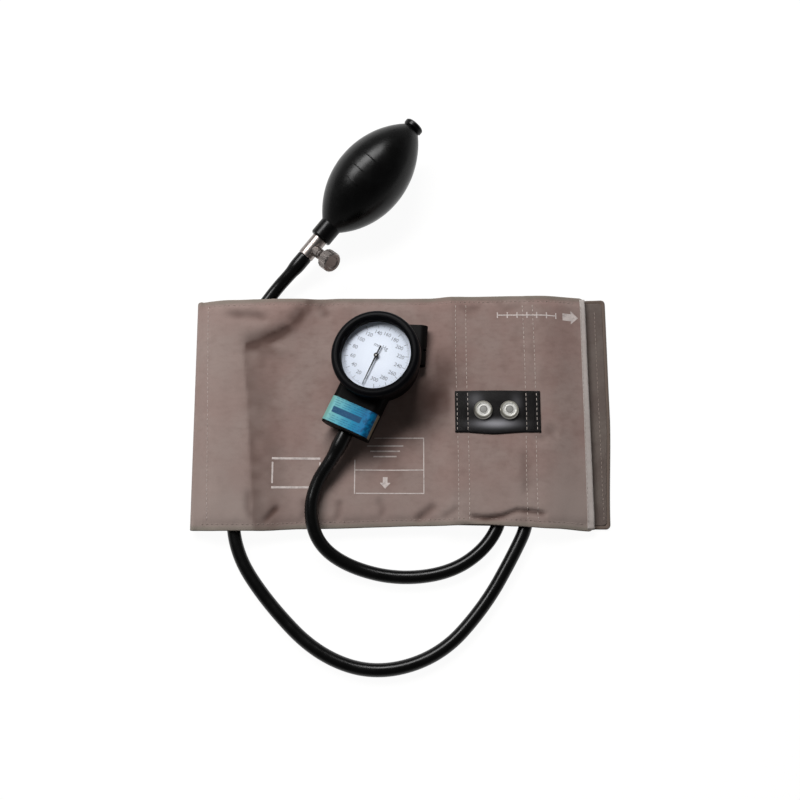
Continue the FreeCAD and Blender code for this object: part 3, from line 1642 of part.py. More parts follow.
def bulb_hose_route():
    """From its port, round a loop on the table, under the upper half again and up to the valve."""
    port = S.bulb_port_along.value
    left = -(S.left_hump_near.value - HOSE_RADIUS.value - 1)
    return [
        Vector(port, PORT_FACE, UNDER),
        Vector(port + 1.0, FRONT + 7.0, UNDER),
        Vector(port - 9.0, FRONT - 13.5, UNDER),
        Vector(port - 26.5, FRONT - 43.5, TABLE_HEIGHT),
        Vector(23.5, FRONT - 72.0, TABLE_HEIGHT + 0.1),
        Vector(-14.0, FRONT - 82.5, TABLE_HEIGHT),
        Vector(-48.5, FRONT - 71.0, TABLE_HEIGHT + 0.1),
        Vector(-78.0, FRONT - 41.5, TABLE_HEIGHT),
        Vector(-97.5, FRONT - 13.0, UNDER),
        Vector(left, FRONT + 17.0, UNDER),
        Vector(left - 0.2, FRONT + 61.0, UNDER),
        Vector(left + 1.5, BACK - 42.75, UNDER),
        Vector(left + 8.5, BACK - 14.75, UNDER),
        Vector(-79.0, BACK + 5.75, UNDER),
        BULB.multVec(Vector(0, 0, VALVE_END.value - 12)),
        BULB.multVec(Vector(0, 0, VALVE_END.value)),
    ]


def hose(label, points):
    """A hose along its route: straight runs joined by arcs as large as the two runs allow."""
    edges = []
    radii = []
    start = points[0]
    for before, corner, after in zip(points, points[1:], points[2:]):
        come = (corner - before).normalize()
        go = (after - corner).normalize()
        half_turn = come.getAngle(go) / 2
        reach = TUBE_FIT * min((corner - before).Length, (after - corner).Length)
        radius = reach / math.tan(half_turn)
        inward = (go - come).normalize()
        crown = corner + inward * (math.hypot(radius, reach) - radius)
        enter, leave = corner - come * reach, corner + go * reach
        edges.append(Part.LineSegment(start, enter).toShape())
        edges.append(Part.Arc(enter, crown, leave).toShape())
        radii.append(round(radius, 1))
        start = leave
    edges.append(Part.LineSegment(start, points[-1]).toShape())
    path = Part.Wire(edges)
    section = Part.Wire(Part.makeCircle(HOSE_RADIUS.value, points[0], points[1] - points[0]))
    tube = path.makePipeShell([section], True, False)
    expected = math.pi * HOSE_RADIUS.value ** 2 * path.Length
    if abs(tube.Volume / expected - 1) > VOLUME_TOLERANCE:
        raise RuntimeError(f"{label} lost volume along its route")
    corners = [tuple(round(value, 2) for value in point) for point in points]
    print(f"{label}: length {path.Length:.1f}, radii {radii}, corners {corners}")
    shaped(label, tube)


# ---------------------------------------------------------------- the whole


def build_cuff():
    outer_cover()
    inner_lining()
    bladder()
    bladder_port("gauge_port", S.gauge_port_along)
    bladder_port("bulb_port", S.bulb_port_along)
    edge_binding()
    stud_patch()
    stud_washers()
    stud_caps()
    stud_backs()
    keyhole_strip()


def build_gauge():
    gauge_case()
    gauge_seal()
    gauge_nipple()
    gauge_bezel()
    window_ring("crystal_gasket", WINDOW_RADIUS, GASKET_BOTTOM, CRYSTAL_BOTTOM)
    window_ring("dial_ring", WINDOW_RADIUS, S.dial_top, GASKET_BOTTOM)
    gauge_crystal()
    dial_plate()
    pointer()
    capsule_half("capsule_lower", 0, 1, S.stem_radius, boss=False)
    capsule_half("capsule_upper", 1, 0, ZERO, boss=True)
    capsule_stem()
    push_pin()
    bottom_plate()
    movement_plate("top_plate", S.top_plate, S.top_plate_thickness)
    posts("lower_spacers", S.case_floor, S.bottom_plate)
    posts("upper_spacers", PLATE_GAP_BOTTOM, S.top_plate)
    movement_screws()
    pinion_arbor()
    sector_gear()
    rocking_shaft()
    hairspring()
    gauge_clip()
    clip_screw()
    clip_washer()


def build_bulb():
    bulb_shell()
    intake_valve_body()
    intake_ball()
    intake_retainer()
    intake_filter()
    release_valve_body()
    release_stem()
    stem_ring()
    gland_nut()
    release_knob()
    outlet_seat()
    outlet_disc()
    outlet_spring()


def check_and_write():
    """Write each sub-part only once every object is sound."""
    DOCUMENT.recompute()
    for feature in DOCUMENT.Objects:
        if "Invalid" in feature.State or "Error" in feature.State:
            raise RuntimeError(f"{feature.Name} failed: {feature.State}")
    for piece in Piece.made:
        if piece.Shape.isNull() or not piece.Shape.isValid() or not piece.Shape.Solids:
            raise RuntimeError(f"{piece.Label} has no sound solid")
    os.makedirs("parts", exist_ok=True)
    for piece in Piece.made:
        piece.Shape.exportStep(f"parts/{piece.Label}.step")


build_cuff()
build_gauge()
build_bulb()
hose("gauge_hose", gauge_hose_route())
hose("bulb_hose", bulb_hose_route())
check_and_write()
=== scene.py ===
"""The looks of an aneroid sphygmomanometer that lies on a table: finishes, hoses and the folded cloth cuff.

Metres, +Z up. The origin is on the table under the middle of the folded cuff, +X runs along the cuff away
from its fold, and +Y across it towards the bulb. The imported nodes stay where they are. The cloth, the
bladder, the leather patch, the binding and the hoses are modelled here in place of their plain solids.
"""

from __future__ import annotations

import json
import logging
import math
from collections.abc import Callable, Iterable, Sequence
from dataclasses import dataclass, field
from typing import Any

import bpy
import numpy as np
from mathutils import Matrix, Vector

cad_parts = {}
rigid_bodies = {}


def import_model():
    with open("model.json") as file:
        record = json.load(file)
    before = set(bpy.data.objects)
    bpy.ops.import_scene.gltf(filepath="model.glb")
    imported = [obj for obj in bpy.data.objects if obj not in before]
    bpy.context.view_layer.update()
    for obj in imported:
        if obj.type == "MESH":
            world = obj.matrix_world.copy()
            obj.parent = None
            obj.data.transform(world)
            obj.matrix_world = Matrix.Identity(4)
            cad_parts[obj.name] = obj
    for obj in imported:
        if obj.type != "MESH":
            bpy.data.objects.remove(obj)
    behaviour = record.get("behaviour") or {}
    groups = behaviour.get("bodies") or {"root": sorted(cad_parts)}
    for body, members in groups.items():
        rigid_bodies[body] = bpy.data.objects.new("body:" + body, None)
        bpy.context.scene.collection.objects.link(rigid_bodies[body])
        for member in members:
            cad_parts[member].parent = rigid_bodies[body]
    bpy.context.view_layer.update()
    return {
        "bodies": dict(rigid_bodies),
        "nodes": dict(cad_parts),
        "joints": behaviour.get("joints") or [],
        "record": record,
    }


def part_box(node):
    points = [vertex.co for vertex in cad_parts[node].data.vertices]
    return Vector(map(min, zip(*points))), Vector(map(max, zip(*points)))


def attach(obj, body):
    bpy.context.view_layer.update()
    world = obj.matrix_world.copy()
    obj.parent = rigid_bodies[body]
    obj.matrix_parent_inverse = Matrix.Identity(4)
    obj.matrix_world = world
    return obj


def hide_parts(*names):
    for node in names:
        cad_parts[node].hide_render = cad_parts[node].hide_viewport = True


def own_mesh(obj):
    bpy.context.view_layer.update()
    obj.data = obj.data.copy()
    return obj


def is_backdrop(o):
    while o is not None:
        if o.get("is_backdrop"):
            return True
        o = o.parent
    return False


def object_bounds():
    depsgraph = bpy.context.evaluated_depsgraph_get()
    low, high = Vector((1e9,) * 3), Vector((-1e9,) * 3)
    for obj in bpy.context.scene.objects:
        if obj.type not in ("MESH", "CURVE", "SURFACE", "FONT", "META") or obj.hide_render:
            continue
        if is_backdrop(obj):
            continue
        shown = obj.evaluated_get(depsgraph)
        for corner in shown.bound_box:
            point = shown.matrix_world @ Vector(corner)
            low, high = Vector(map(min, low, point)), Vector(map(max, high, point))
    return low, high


LOG = logging.getLogger("sphygmomanometer")

MM = 0.001
TURN = 2 * math.pi
ROOT = "cuff_and_cases"

Array = np.ndarray
Colour = tuple[float, float, float]
Inputs = dict[str, Any]
Part = tuple[Array, Iterable[Sequence[int]]]
Strip = list[tuple[float, float]]


# ---------------------------------------------------------------- shader graph


def paint(*levels: int) -> Colour:
    """Turn a colour as a screen shows it, red, green and blue from 0 to 255, into scene values."""
    shares = (level / 255 for level in levels)
    return tuple(share / 12.92 if share <= 0.04045 else ((share + 0.055) / 1.055) ** 2.4 for share in shares)


def operator(kind: str, swapped: bool = False) -> Callable[..., Signal]:
    """A method that works out one number from a signal and others."""

    def method(self: Signal, *others: Signal | float) -> Signal:
        """Add the Math node."""
        return self.graph.math(kind, *((*others, self) if swapped else (self, *others)))

    return method


@dataclass(frozen=True)
class Signal:
    """An output of a shader node. Python's operators on a number add Math nodes."""

    graph: Graph
    socket: bpy.types.NodeSocket

    __add__ = __radd__ = operator("ADD")
    __sub__ = operator("SUBTRACT")
    __rsub__ = operator("SUBTRACT", swapped=True)
    __mul__ = __rmul__ = operator("MULTIPLY")
    __truediv__ = operator("DIVIDE")
    __abs__ = operator("ABSOLUTE")
    wave = operator("SINE")
    root = operator("SQRT")
    exponent = operator("EXPONENT")

    def ridges(self) -> Signal:
        """A wave from 0 to 1."""
        return self.wave() * 0.5 + 0.5

    def step(self, low: float, high: float) -> Signal:
        """An eased step, from 0 where this is low to 1 where it is high."""
        return self.graph.add("MapRange", {0: self, 1: low, 2: high}, interpolation_type="SMOOTHSTEP")[0]

    def within(self, middle: float, half: float, soft: float) -> Signal:
        """1 where this is within half of middle, with a soft edge."""
        return 1 - abs(self - middle).step(half - soft, half + soft)


@dataclass(frozen=True)
class Added:
    """A node that has been added, whose outputs are read by name or place."""

    graph: Graph
    node: bpy.types.Node

    def __getitem__(self, key: str | int) -> Signal:
        """One output."""
        return Signal(self.graph, self.node.outputs[key])


class Graph:
    """The node tree of one material, or of the world."""

    def __init__(self, owner: bpy.types.Material | bpy.types.World) -> None:
        """Start an owner's tree afresh."""
        owner.use_nodes = True
        self.owner = owner
        self.tree = owner.node_tree
        self.tree.nodes.clear()

    def add(self, kind: str, sockets: dict[str | int, Any] | None = None, **settings: Any) -> Added:
        """Add a node: its properties first, then the values or links of its inputs."""
        node = self.tree.nodes.new(f"ShaderNode{kind}")
        for name, value in settings.items():
            setattr(node, name, value)
        for key, value in (sockets or {}).items():
            if isinstance(value, Signal):
                self.tree.links.new(value.socket, node.inputs[key])
            else:
                node.inputs[key].default_value = value
        return Added(self, node)

    def math(self, operation: str, *values: Signal | float) -> Signal:
        """Work out one number from others."""
        return self.add("Math", dict(enumerate(values)), operation=operation)[0]

    def vector(self, operation: str, *values: Signal | Sequence[float], output: str = "Vector") -> Signal:
        """Work out one vector, or a value, from vectors."""
        return self.add("VectorMath", dict(enumerate(values)), operation=operation)[output]

    def mix(self, share: Signal | float, one: Signal | Colour, other: Signal | Colour) -> Signal:
        """Mix two colours: the first where share is 0, the second where it is 1."""
        sides = [side if isinstance(side, Signal) else (*side, 1.0) for side in (one, other)]
        return self.add("Mix", {0: share, 6: sides[0], 7: sides[1]}, data_type="RGBA")[2]

    def ramp(self, share: Signal, stops: Sequence[tuple[float, Colour]]) -> Signal:
        """A colour that runs from stop to stop."""
        made = self.add("ValToRGB", {0: share})
        elements = made.node.color_ramp.elements
        while len(elements) < len(stops):
            elements.new(0.5)
        for element, (place, colour) in zip(elements, stops):
            element.position = place
            element.color = (*colour, 1.0)
        return made[0]

    def place(self) -> Signal:
        """Where a point of the piece is, in metres."""
        return self.add("TexCoord")["Object"]

    def mark(self, name: str) -> Signal:
        """Three numbers that the piece's corners carry."""
        return self.add("Attribute", attribute_name=name)["Vector"]

    def axes(self, vector: Signal) -> list[Signal]:
        """A vector's three parts."""
        split = self.add("SeparateXYZ", {0: vector})
        return [split[axis] for axis in range(3)]

    def noise(self, vector: Signal, size: float, detail: float = 2.0, stretch: Sequence[float] = (1, 1, 1)) -> Signal:
        """Noise around 0.5: its clouds' size, how many finer layers it has, and how it is squeezed on each axis."""
        scaled = self.vector("MULTIPLY", vector, stretch)
        return self.add("TexNoise", {"Vector": scaled, "Scale": 1 / size, "Detail": detail})[0]

    def cracks(self, vector: Signal, size: float) -> Signal:
        """The distance to the nearest border between scattered cells, in cell sizes."""
        return self.add("TexVoronoi", {"Vector": vector, "Scale": 1 / size}, feature="DISTANCE_TO_EDGE")["Distance"]

    def bump(self, height: Signal, depth: float, under: Signal | None = None) -> Signal:
        """A normal that leans as a height from 0 to 1, depth metres high, would have it."""
        lower = {} if under is None else {"Normal": under}
        return self.add("Bump", {"Height": height, "Distance": depth, "Strength": 1.0, **lower})["Normal"]

    def surface(self, inputs: Inputs) -> bpy.types.Material:
        """End the material in one surface shader, whose inputs are named in small letters with low lines."""
        named: dict[str | int, Any] = {}
        for name, value in inputs.items():
            title = name.replace("_", " ").title().replace("Ior", "IOR")
            named[title] = (*value, 1.0) if isinstance(value, tuple) else value
        self.add("OutputMaterial", {"Surface": self.add("BsdfPrincipled", named)[0]})
        return self.owner


# ---------------------------------------------------------------- frames of the CAD pieces


@dataclass(frozen=True)
class Frame:
    """A place with three axes at right angles."""

    origin: Vector
    x: Vector
    y: Vector
    z: Vector

    @staticmethod
    def facing(origin: Vector, up: Vector, towards: Vector) -> Frame:
        """A frame at origin whose +Z is up, and whose -Y leads towards another point."""
        z = up.normalized()
        lead = towards - origin
        y = -(lead - lead.dot(z) * z).normalized()
        return Frame(origin, y.cross(z), y, z)

    def points(self, local: Array) -> Array:
        """Points of this frame, in the row frame."""
        return np.array(self.origin) + local @ np.array((self.x, self.y, self.z))

    def local(self, graph: Graph) -> list[Signal]:
        """A shaded point's place in this frame."""
        lead = graph.vector("SUBTRACT", graph.place(), tuple(self.origin))
        return [graph.vector("DOT_PRODUCT", lead, tuple(axis), output="Value") for axis in (self.x, self.y, self.z)]


def middle(node: str) -> Vector:
    """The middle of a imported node's box."""
    low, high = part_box(node)
    return (low + high) / 2


def joint(joints: Iterable[dict[str, Any]], name: str) -> dict[str, Any]:
    """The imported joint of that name."""
    return next(found for found in joints if found["name"] == name)


# ---------------------------------------------------------------- finishes


MATERIALS: dict[str, bpy.types.Material] = {}


@dataclass(frozen=True)
class Finish:
    """One finish: a name, a colour and how rough it is."""

    name: str
    colour: Colour
    roughness: float

    def material(self) -> bpy.types.Material:
        """The finish as a material, made when it is first worn."""
        if self.name not in MATERIALS:
            graph = Graph(bpy.data.materials.new(self.name))
            MATERIALS[self.name] = graph.surface(self.inputs(graph))
        return MATERIALS[self.name]

    def inputs(self, graph: Graph) -> Inputs:
        """The surface shader's inputs."""
        raise NotImplementedError


@dataclass(frozen=True)
class Cloth(Finish):
    """Woven cotton: yarns that cross, faded patches, slubs and a soft nap.

    Its place on the piece comes from the attribute cloth, in metres along and across the cut. A second
    attribute says how much painted shade and dirt it has, how rubbed and how faded it is, each from 0 to 1.
    """

    twill: bool = True
    yarn: float = 0.42 * MM
    shade: Colour = paint(108, 86, 79)
    tint: Colour = paint(150, 137, 131)
    patchiness: float = 0.5
    mottle: float = 0.26
    relief: float = 0.07 * MM
    # Painted shade, with a little dirt, darkens the cloth towards this warm brown.
    soiled: Colour = paint(66, 45, 39)
    rubbed: Colour = paint(122, 118, 108)

    def inputs(self, graph: Graph) -> Inputs:
        """The surface shader's inputs."""
        at = graph.mark("cloth")
        along, across, _ = graph.axes(at)
        turn = TURN / self.yarn
        wander = (graph.noise(at, 9 * MM) - 0.5) * 1.6
        warp = (across * turn + wander).ridges()
        weft = (along * turn + wander).ridges()
        if self.twill:
            ribs = ((along + across) * (turn / 2) + wander).ridges()
            woven = ribs * 0.62 + warp * 0.22 + weft * 0.16
        else:
            woven = warp * weft + (1 - warp) * (1 - weft)
        slub = graph.noise(at, 3.0 * MM, 4, (0.7, 1.3, 1))
        cloud = graph.noise(at, 26 * MM, 4)
        faded = graph.mix(cloud.step(0.36, 0.66) * self.patchiness, self.colour, self.tint)
        mottled = graph.mix(graph.noise(at, 8 * MM, 5).step(0.45, 0.72) * self.mottle, faded, self.shade)
        worn = graph.mix(slub.step(0.42, 0.80) * 0.22, mottled, self.shade)
        # The first of the three shares is mostly painted shade, in folds, on slopes and in cast shadows, with a little
        # dirt; the second is rubbing and the third fading.
        soil_and_shade, rub, fade = graph.axes(graph.mark("handling"))
        edged = graph.mix(rub * 0.85, graph.mix(fade, worn, self.tint), self.rubbed)
        shaded_and_soiled = graph.mix(soil_and_shade, edged, self.soiled)
        fuzz = graph.noise(at, 0.9 * MM, 2)
        return {
            "base_color": graph.mix((1 - woven) * 0.30, shaded_and_soiled, self.shade),
            "roughness": (slub - 0.5) * 0.1 + self.roughness,
            "normal": graph.bump(woven * 0.8 + fuzz * 0.35, self.relief),
            "sheen_weight": 0.12,
            "sheen_roughness": 0.45,
            "specular_ior_level": 0.15,
        }


@dataclass(frozen=True)
class Rubber(Finish):
    """Moulded or drawn rubber: near black, with a bloom, fine pores and finger marks."""

    pores: float = 0.5 * MM
    relief: float = 0.012 * MM
    bloom: Colour = paint(58, 57, 58)
    bloom_share: float = 0.35
    shine: float = 0.3
    index: float = 1.3

    def inputs(self, graph: Graph) -> Inputs:
        """The surface shader's inputs."""
        at = graph.place()
        dust = graph.noise(at, 7 * MM, 5)
        grain = graph.noise(at, self.pores, 3)
        waves = graph.noise(at, 6 * MM, 1)
        return {
            "base_color": graph.mix(dust.step(0.45, 0.80) * self.bloom_share, self.colour, self.bloom),
            "roughness": (dust - 0.5) * 0.22 + (grain - 0.5) * 0.08 + self.roughness,
            "normal": graph.bump(grain, self.relief, graph.bump(waves, 0.05 * MM)),
            "specular_ior_level": self.shine,
            "ior": self.index,
        }


@dataclass(frozen=True)
class Moulding(Finish):
    """Injection-moulded or sprayed black: a spark texture, with polished high spots."""

    grain: float = 0.35 * MM
    relief: float = 0.010 * MM
    rubbed: Colour = paint(30, 29, 29)
    shine: float = 0.16
    index: float = 1.35

    def inputs(self, graph: Graph) -> Inputs:
        """The surface shader's inputs."""
        at = graph.place()
        spark = graph.noise(at, self.grain, 4)
        flow = graph.noise(at, 12 * MM, 3)
        handled = flow.step(0.48, 0.72)
        return {
            "base_color": graph.mix(handled * 0.5, self.colour, self.rubbed),
            "roughness": (spark - 0.5) * 0.14 - handled * 0.07 + self.roughness,
            "normal": graph.bump(spark, self.relief, graph.bump(flow, 0.04 * MM)),
            "specular_ior_level": self.shine,
            "ior": self.index,
        }


@dataclass(frozen=True)
class Metal(Finish):
    """Plated, turned or rolled metal: fine lines one way, spots of tarnish and a few scratches."""

    tarnish: Colour = paint(118, 112, 104)
    tarnish_share: float = 0.35
    lines: float = 0.12 * MM
    stretch: tuple[float, float, float] = (1, 1, 14)
    relief: float = 0.003 * MM

    def inputs(self, graph: Graph) -> Inputs:
        """The surface shader's inputs."""
        at = graph.place()
        brushed = graph.noise(at, self.lines, 3, self.stretch)
        dull = graph.noise(at, 3.5 * MM, 5).step(0.50, 0.78)
        scratch = graph.cracks(at, 1.8 * MM).step(0.0, 0.02)
        return {
            "base_color": graph.mix(dull * self.tarnish_share, self.colour, self.tarnish),
            "metallic": 1.0,
            "roughness": (brushed - 0.5) * 0.12 + dull * 0.14 + (1 - scratch) * 0.06 + self.roughness,
            "normal": graph.bump(brushed, self.relief),
        }


@dataclass(frozen=True)
class StudPlate(Finish):
    """Plated snap studs, two side by side, with light painted on one plating: a pale rolled ring as painted highlight
    round a duller centre, a dark ring between them as painted shade, and a greenish painted reflection round the
    outside.
    """

    centre: tuple[float, float] = (0.0, 0.0)
    spacing: float = 0.0
    # Painted shade for the centre and the recess round it, and painted reflection for the outer band.
    boss: Colour = paint(158, 157, 153)
    groove: Colour = paint(84, 82, 78)
    skirt: Colour = paint(150, 148, 138)

    def inputs(self, graph: Graph) -> Inputs:
        """The surface shader's inputs."""
        at = graph.place()
        x, y, _ = graph.axes(at)
        across = abs(x - self.centre[0]) - self.spacing / 2
        along = y - self.centre[1]
        radius = (across * across + along * along).root()
        # The ring's colour is a painted highlight, flecked with the painted reflection.
        ring = graph.mix(graph.noise(at, 2.2 * MM, 4).step(0.5, 0.8) * 0.4, self.colour, self.skirt)
        # Painted shade: a duller centre, darker in the recess round it.
        inner = graph.mix(radius.step(1.7 * MM, 2.1 * MM), self.boss, self.groove)
        face = graph.mix(radius.step(2.0 * MM, 2.5 * MM), inner, ring)
        fine = graph.noise(at, 0.2 * MM, 3)
        return {
            # Painted reflection on the outer band.
            "base_color": graph.mix(radius.step(3.9 * MM, 4.5 * MM), face, self.skirt),
            "metallic": 0.55,
            "roughness": (fine - 0.5) * 0.12 + self.roughness,
            "normal": graph.bump(fine, 0.004 * MM),
        }


@dataclass(frozen=True)
class Leather(Finish):
    """Grained black leather: pebbles, pores, a rubbed, waxy shine and painted highlights.

    Each painted highlight, a lighter patch where the bowed leather would catch the light, has its X, Y, half length
    and half width, in millimetres, and its share.
    """

    shine: float = 0.3
    polish: tuple[tuple[float, float, float, float, float], ...] = ()
    pebble: float = 0.85 * MM
    relief: float = 0.05 * MM
    rubbed: Colour = paint(38, 35, 34)
    # The colour of the painted highlights.
    bright: Colour = paint(150, 149, 154)
    wander: float = 1.2 * MM

    def inputs(self, graph: Graph) -> Inputs:
        """The surface shader's inputs."""
        at = graph.place()
        x, y, _ = graph.axes(at)
        swirl = graph.add("TexNoise", {"Vector": at, "Scale": 300.0})[1]
        bent = graph.vector("MULTIPLY_ADD", swirl, (self.wander,) * 3, at)
        crack = graph.cracks(bent, self.pebble).step(0.0, 0.22)
        fine = graph.noise(at, 0.25 * MM, 3)
        handled = graph.noise(at, 8 * MM, 4).step(0.42, 0.75)
        base = graph.mix(handled * crack * 0.45, self.colour, self.rubbed)
        # Painted highlights: lighter spots where the leather bows and catches the light.
        for place_x, place_y, half_x, half_y, share in self.polish:
            across, along = (x - place_x * MM) / (half_x * MM), (y - place_y * MM) / (half_y * MM)
            spot = ((across * across + along * along) * -1.0).exponent()
            base = graph.mix(spot * share * (0.8 + fine * 0.4), base, self.bright)
        return {
            "base_color": base,
            "roughness": (fine - 0.5) * 0.15 - handled * 0.12 + (1 - crack) * 0.2 + self.roughness,
            "normal": graph.bump(crack * 0.8 + fine * 0.2, self.relief),
            "specular_ior_level": self.shine,
        }


@dataclass(frozen=True)
class Crystal(Finish):
    """A clear dome or disc that only reflects: its share of mirror grows towards the edge of sight."""

    clearness: float = 0.17
    index: float = 1.49

    def inputs(self, graph: Graph) -> Inputs:
        """The surface shader's inputs."""
        glint = graph.add("Fresnel", {"IOR": self.index})[0]
        smear = graph.noise(graph.place(), 9 * MM, 3)
        return {
            "base_color": self.colour,
            "metallic": 1.0,
            "roughness": smear * 0.05 + self.roughness,
            "alpha": glint * self.clearness + smear.step(0.55, 0.9) * 0.015,
        }


@dataclass(frozen=True)
class DialEnamel(Finish):
    """White dial enamel, cooler and a little darker towards the rim, with specks."""

    frame: Frame = field(kw_only=True)
    rim: Colour = paint(200, 208, 222)

    def inputs(self, graph: Graph) -> Inputs:
        """The surface shader's inputs."""
        x, y, _ = self.frame.local(graph)
        cloud = graph.noise(graph.place(), 6 * MM, 3)
        speck = graph.noise(graph.place(), 0.3 * MM, 2)
        share = (x * x + y * y).root().step(5 * MM, 21 * MM) * 0.8 + (cloud - 0.5) * 0.3
        return {
            "base_color": graph.mix(share, self.colour, self.rim),
            "roughness": (speck - 0.5) * 0.1 + self.roughness,
            "normal": graph.bump(speck, 0.004 * MM),
        }


@dataclass(frozen=True)
class Foil(Finish):
    """A printed foil seal: green to deep blue across, with a dark panel and rows of fine lines."""

    frame: Frame = field(kw_only=True)
    near: Colour = paint(110, 158, 150)
    sky: Colour = paint(82, 152, 165)
    deep: Colour = paint(0, 98, 142)
    panel: Colour = paint(0, 58, 94)
    dark: Colour = paint(0, 34, 70)
    edge: Colour = paint(140, 128, 108)
    half_width: float = 15.2 * MM
    middle_along: float = -38.7 * MM
    panel_middle: float = -1.9 * MM
    panel_half: tuple[float, float] = (9.4 * MM, 1.9 * MM)
    row: float = 1.35 * MM

    def inputs(self, graph: Graph) -> Inputs:
        """The surface shader's inputs."""
        x, y, _ = self.frame.local(graph)
        at = graph.place()
        across = x / self.half_width
        along = y - self.middle_along
        blend = across * 0.5 + 0.5 + (graph.noise(at, 5 * MM, 4) - 0.5) * 0.35
        stops = ((0.0, self.near), (0.25, self.sky), (0.58, self.colour), (0.84, self.deep), (1.0, self.deep))
        box = x.within(self.panel_middle, self.panel_half[0], 0.25 * MM)
        box = box * along.within(0.0, self.panel_half[1], 0.25 * MM)
        crumble = graph.noise(at, 0.7 * MM, 2).step(0.30, 0.55)
        rows = (along * (TURN / self.row)).wave().step(0.35, 0.8)
        broken = graph.noise(at, 1.3 * MM, 1).step(0.42, 0.50)
        outside = 1 - along.within(0.0, self.panel_half[1] + 0.9 * MM, 0.2 * MM)
        fine_lines = rows * broken * outside * x.within(-1.5 * MM, 10.5 * MM, 0.3 * MM) * 0.6
        lined = graph.mix(fine_lines, graph.ramp(blend, stops), self.panel)
        printed = graph.mix(box * (crumble * 0.12 + 0.88), lined, self.panel)
        blotch = graph.noise(at, 2.4 * MM, 3).step(0.48, 0.60) * across.step(0.30, 0.75)
        crinkle = graph.noise(at, 2.6 * MM, 4)
        blotched = graph.mix(blotch * 0.62, printed, self.dark)
        return {
            "base_color": graph.mix(across.step(0.955, 0.975), blotched, self.edge),
            "metallic": 0.15,
            "roughness": (crinkle - 0.5) * 0.2 + self.roughness,
            "normal": graph.bump(crinkle, 0.08 * MM),
            "specular_ior_level": 0.2,
        }


@dataclass(frozen=True)
class Thread(Finish):
    """Twisted sewing thread."""

    twist: float = 0.45 * MM

    def inputs(self, graph: Graph) -> Inputs:
        """The surface shader's inputs."""
        at = graph.place()
        x, y, _ = graph.axes(at)
        strands = ((x + y) * (TURN / self.twist)).ridges()
        soil_and_shade = graph.noise(at, 5 * MM, 3)
        dark = tuple(0.5 * level for level in self.colour)
        return {
            "base_color": graph.mix(strands * 0.3 + soil_and_shade.step(0.45, 0.8) * 0.4, self.colour, dark),
            "roughness": strands * 0.1 + self.roughness,
            "normal": graph.bump(strands, 0.05 * MM),
        }


@dataclass(frozen=True)
class Ink(Finish):
    """Print on cloth or enamel, thin where it is worn."""

    wear: float = 0.5
    pale: Colour = (0.4, 0.38, 0.36)

    def inputs(self, graph: Graph) -> Inputs:
        """The surface shader's inputs."""
        at = graph.place()
        rubbed = graph.noise(at, 2.4 * MM, 5)
        grain = graph.noise(at, 0.4 * MM, 2)
        return {
            "base_color": graph.mix(rubbed * 0.25, self.colour, self.pale),
            "roughness": (grain - 0.5) * 0.1 + self.roughness,
            "alpha": 1 - rubbed.step(0.40, 0.85) * self.wear - grain.step(0.5, 0.8) * self.wear * 0.6,
            "normal": graph.bump(grain, 0.02 * MM),
        }


def wear(piece: bpy.types.Object, finish: Finish) -> None:
    """Give a piece one finish all over."""
    for slot in piece.material_slots:
        slot.material = finish.material()
    if not piece.material_slots:
        piece.data.materials.append(finish.material())
    LOG.info("%s: %s", piece.name, finish.name)


# ---------------------------------------------------------------- meshes


def ease(share: Array) -> Array:
    """A smooth step: 0 below 0, 1 above 1."""
    share = np.clip(share, 0, 1)
    return share * share * (3 - 2 * share)


def ramp(x: Array, start: float, width: float) -> Array:
    """A smooth step that starts at a place and is so wide, both in millimetres."""
    return ease((x - start * MM) / (width * MM))


def bell(away: Array, width: float | Array) -> Array:
    """A round hill: 1 where away is 0, and near 0 past twice the width."""
    return np.exp(-((away / width) ** 2))


def round_edge(share: Array) -> Array:
    """How far a rounded edge has fallen: 1 at share 0, 0 from share 1 on, as a quarter of a circle."""
    return 1 - np.sqrt(np.clip(1 - (1 - np.clip(share, 0, 1)) ** 2, 0, 1))


def spots(x: Array, y: Array, rows: Iterable[tuple[float, float, float, float]]) -> Array:
    """Round hills added up, each with its X, Y and width in millimetres and its height."""
    return sum(height * bell(np.hypot(x - a * MM, y - b * MM), width * MM) for a, b, width, height in rows)


def stacked(*parts: Array | float) -> Array:
    """Points from their X, Y and Z."""
    return np.stack(np.broadcast_arrays(*parts), axis=-1)


def through(x: Array, stations: Sequence[tuple[float, float]]) -> Array:
    """A line that eases from station to station, each a place and a value in millimetres."""
    places, values = np.array(stations).T * MM
    which = np.clip(np.searchsorted(places, x) - 1, 0, len(places) - 2)
    share = (x - places[which]) / (places[which + 1] - places[which])
    return values[which] + (values[which + 1] - values[which]) * ease(share)


def mesh_object(name: str, points: Array, faces: Iterable[Sequence[int]], smooth: bool = True) -> bpy.types.Object:
    """Make a mesh object in the scene, of points in metres."""
    mesh = bpy.data.meshes.new(name)
    mesh.from_pydata(np.asarray(points).tolist(), [], [list(map(int, face)) for face in faces])
    mesh.validate()
    mesh.polygons.foreach_set("use_smooth", [smooth] * len(mesh.polygons))
    mesh.update()
    return linked(bpy.data.objects.new(name, mesh))


def linked(made: bpy.types.Object) -> bpy.types.Object:
    """Put an object in the scene."""
    bpy.context.scene.collection.objects.link(made)
    return made


def flat_mesh(made: bpy.types.Object) -> tuple[Array, list[list[int]]]:
    """The points and faces of a curve or a text as it is now."""
    bpy.context.view_layer.update()
    mesh = bpy.data.meshes.new_from_object(made.evaluated_get(bpy.context.evaluated_depsgraph_get()))
    points = np.array([vertex.co for vertex in mesh.vertices])
    faces = [list(polygon.vertices) for polygon in mesh.polygons]
    bpy.data.meshes.remove(mesh)
    return points, faces


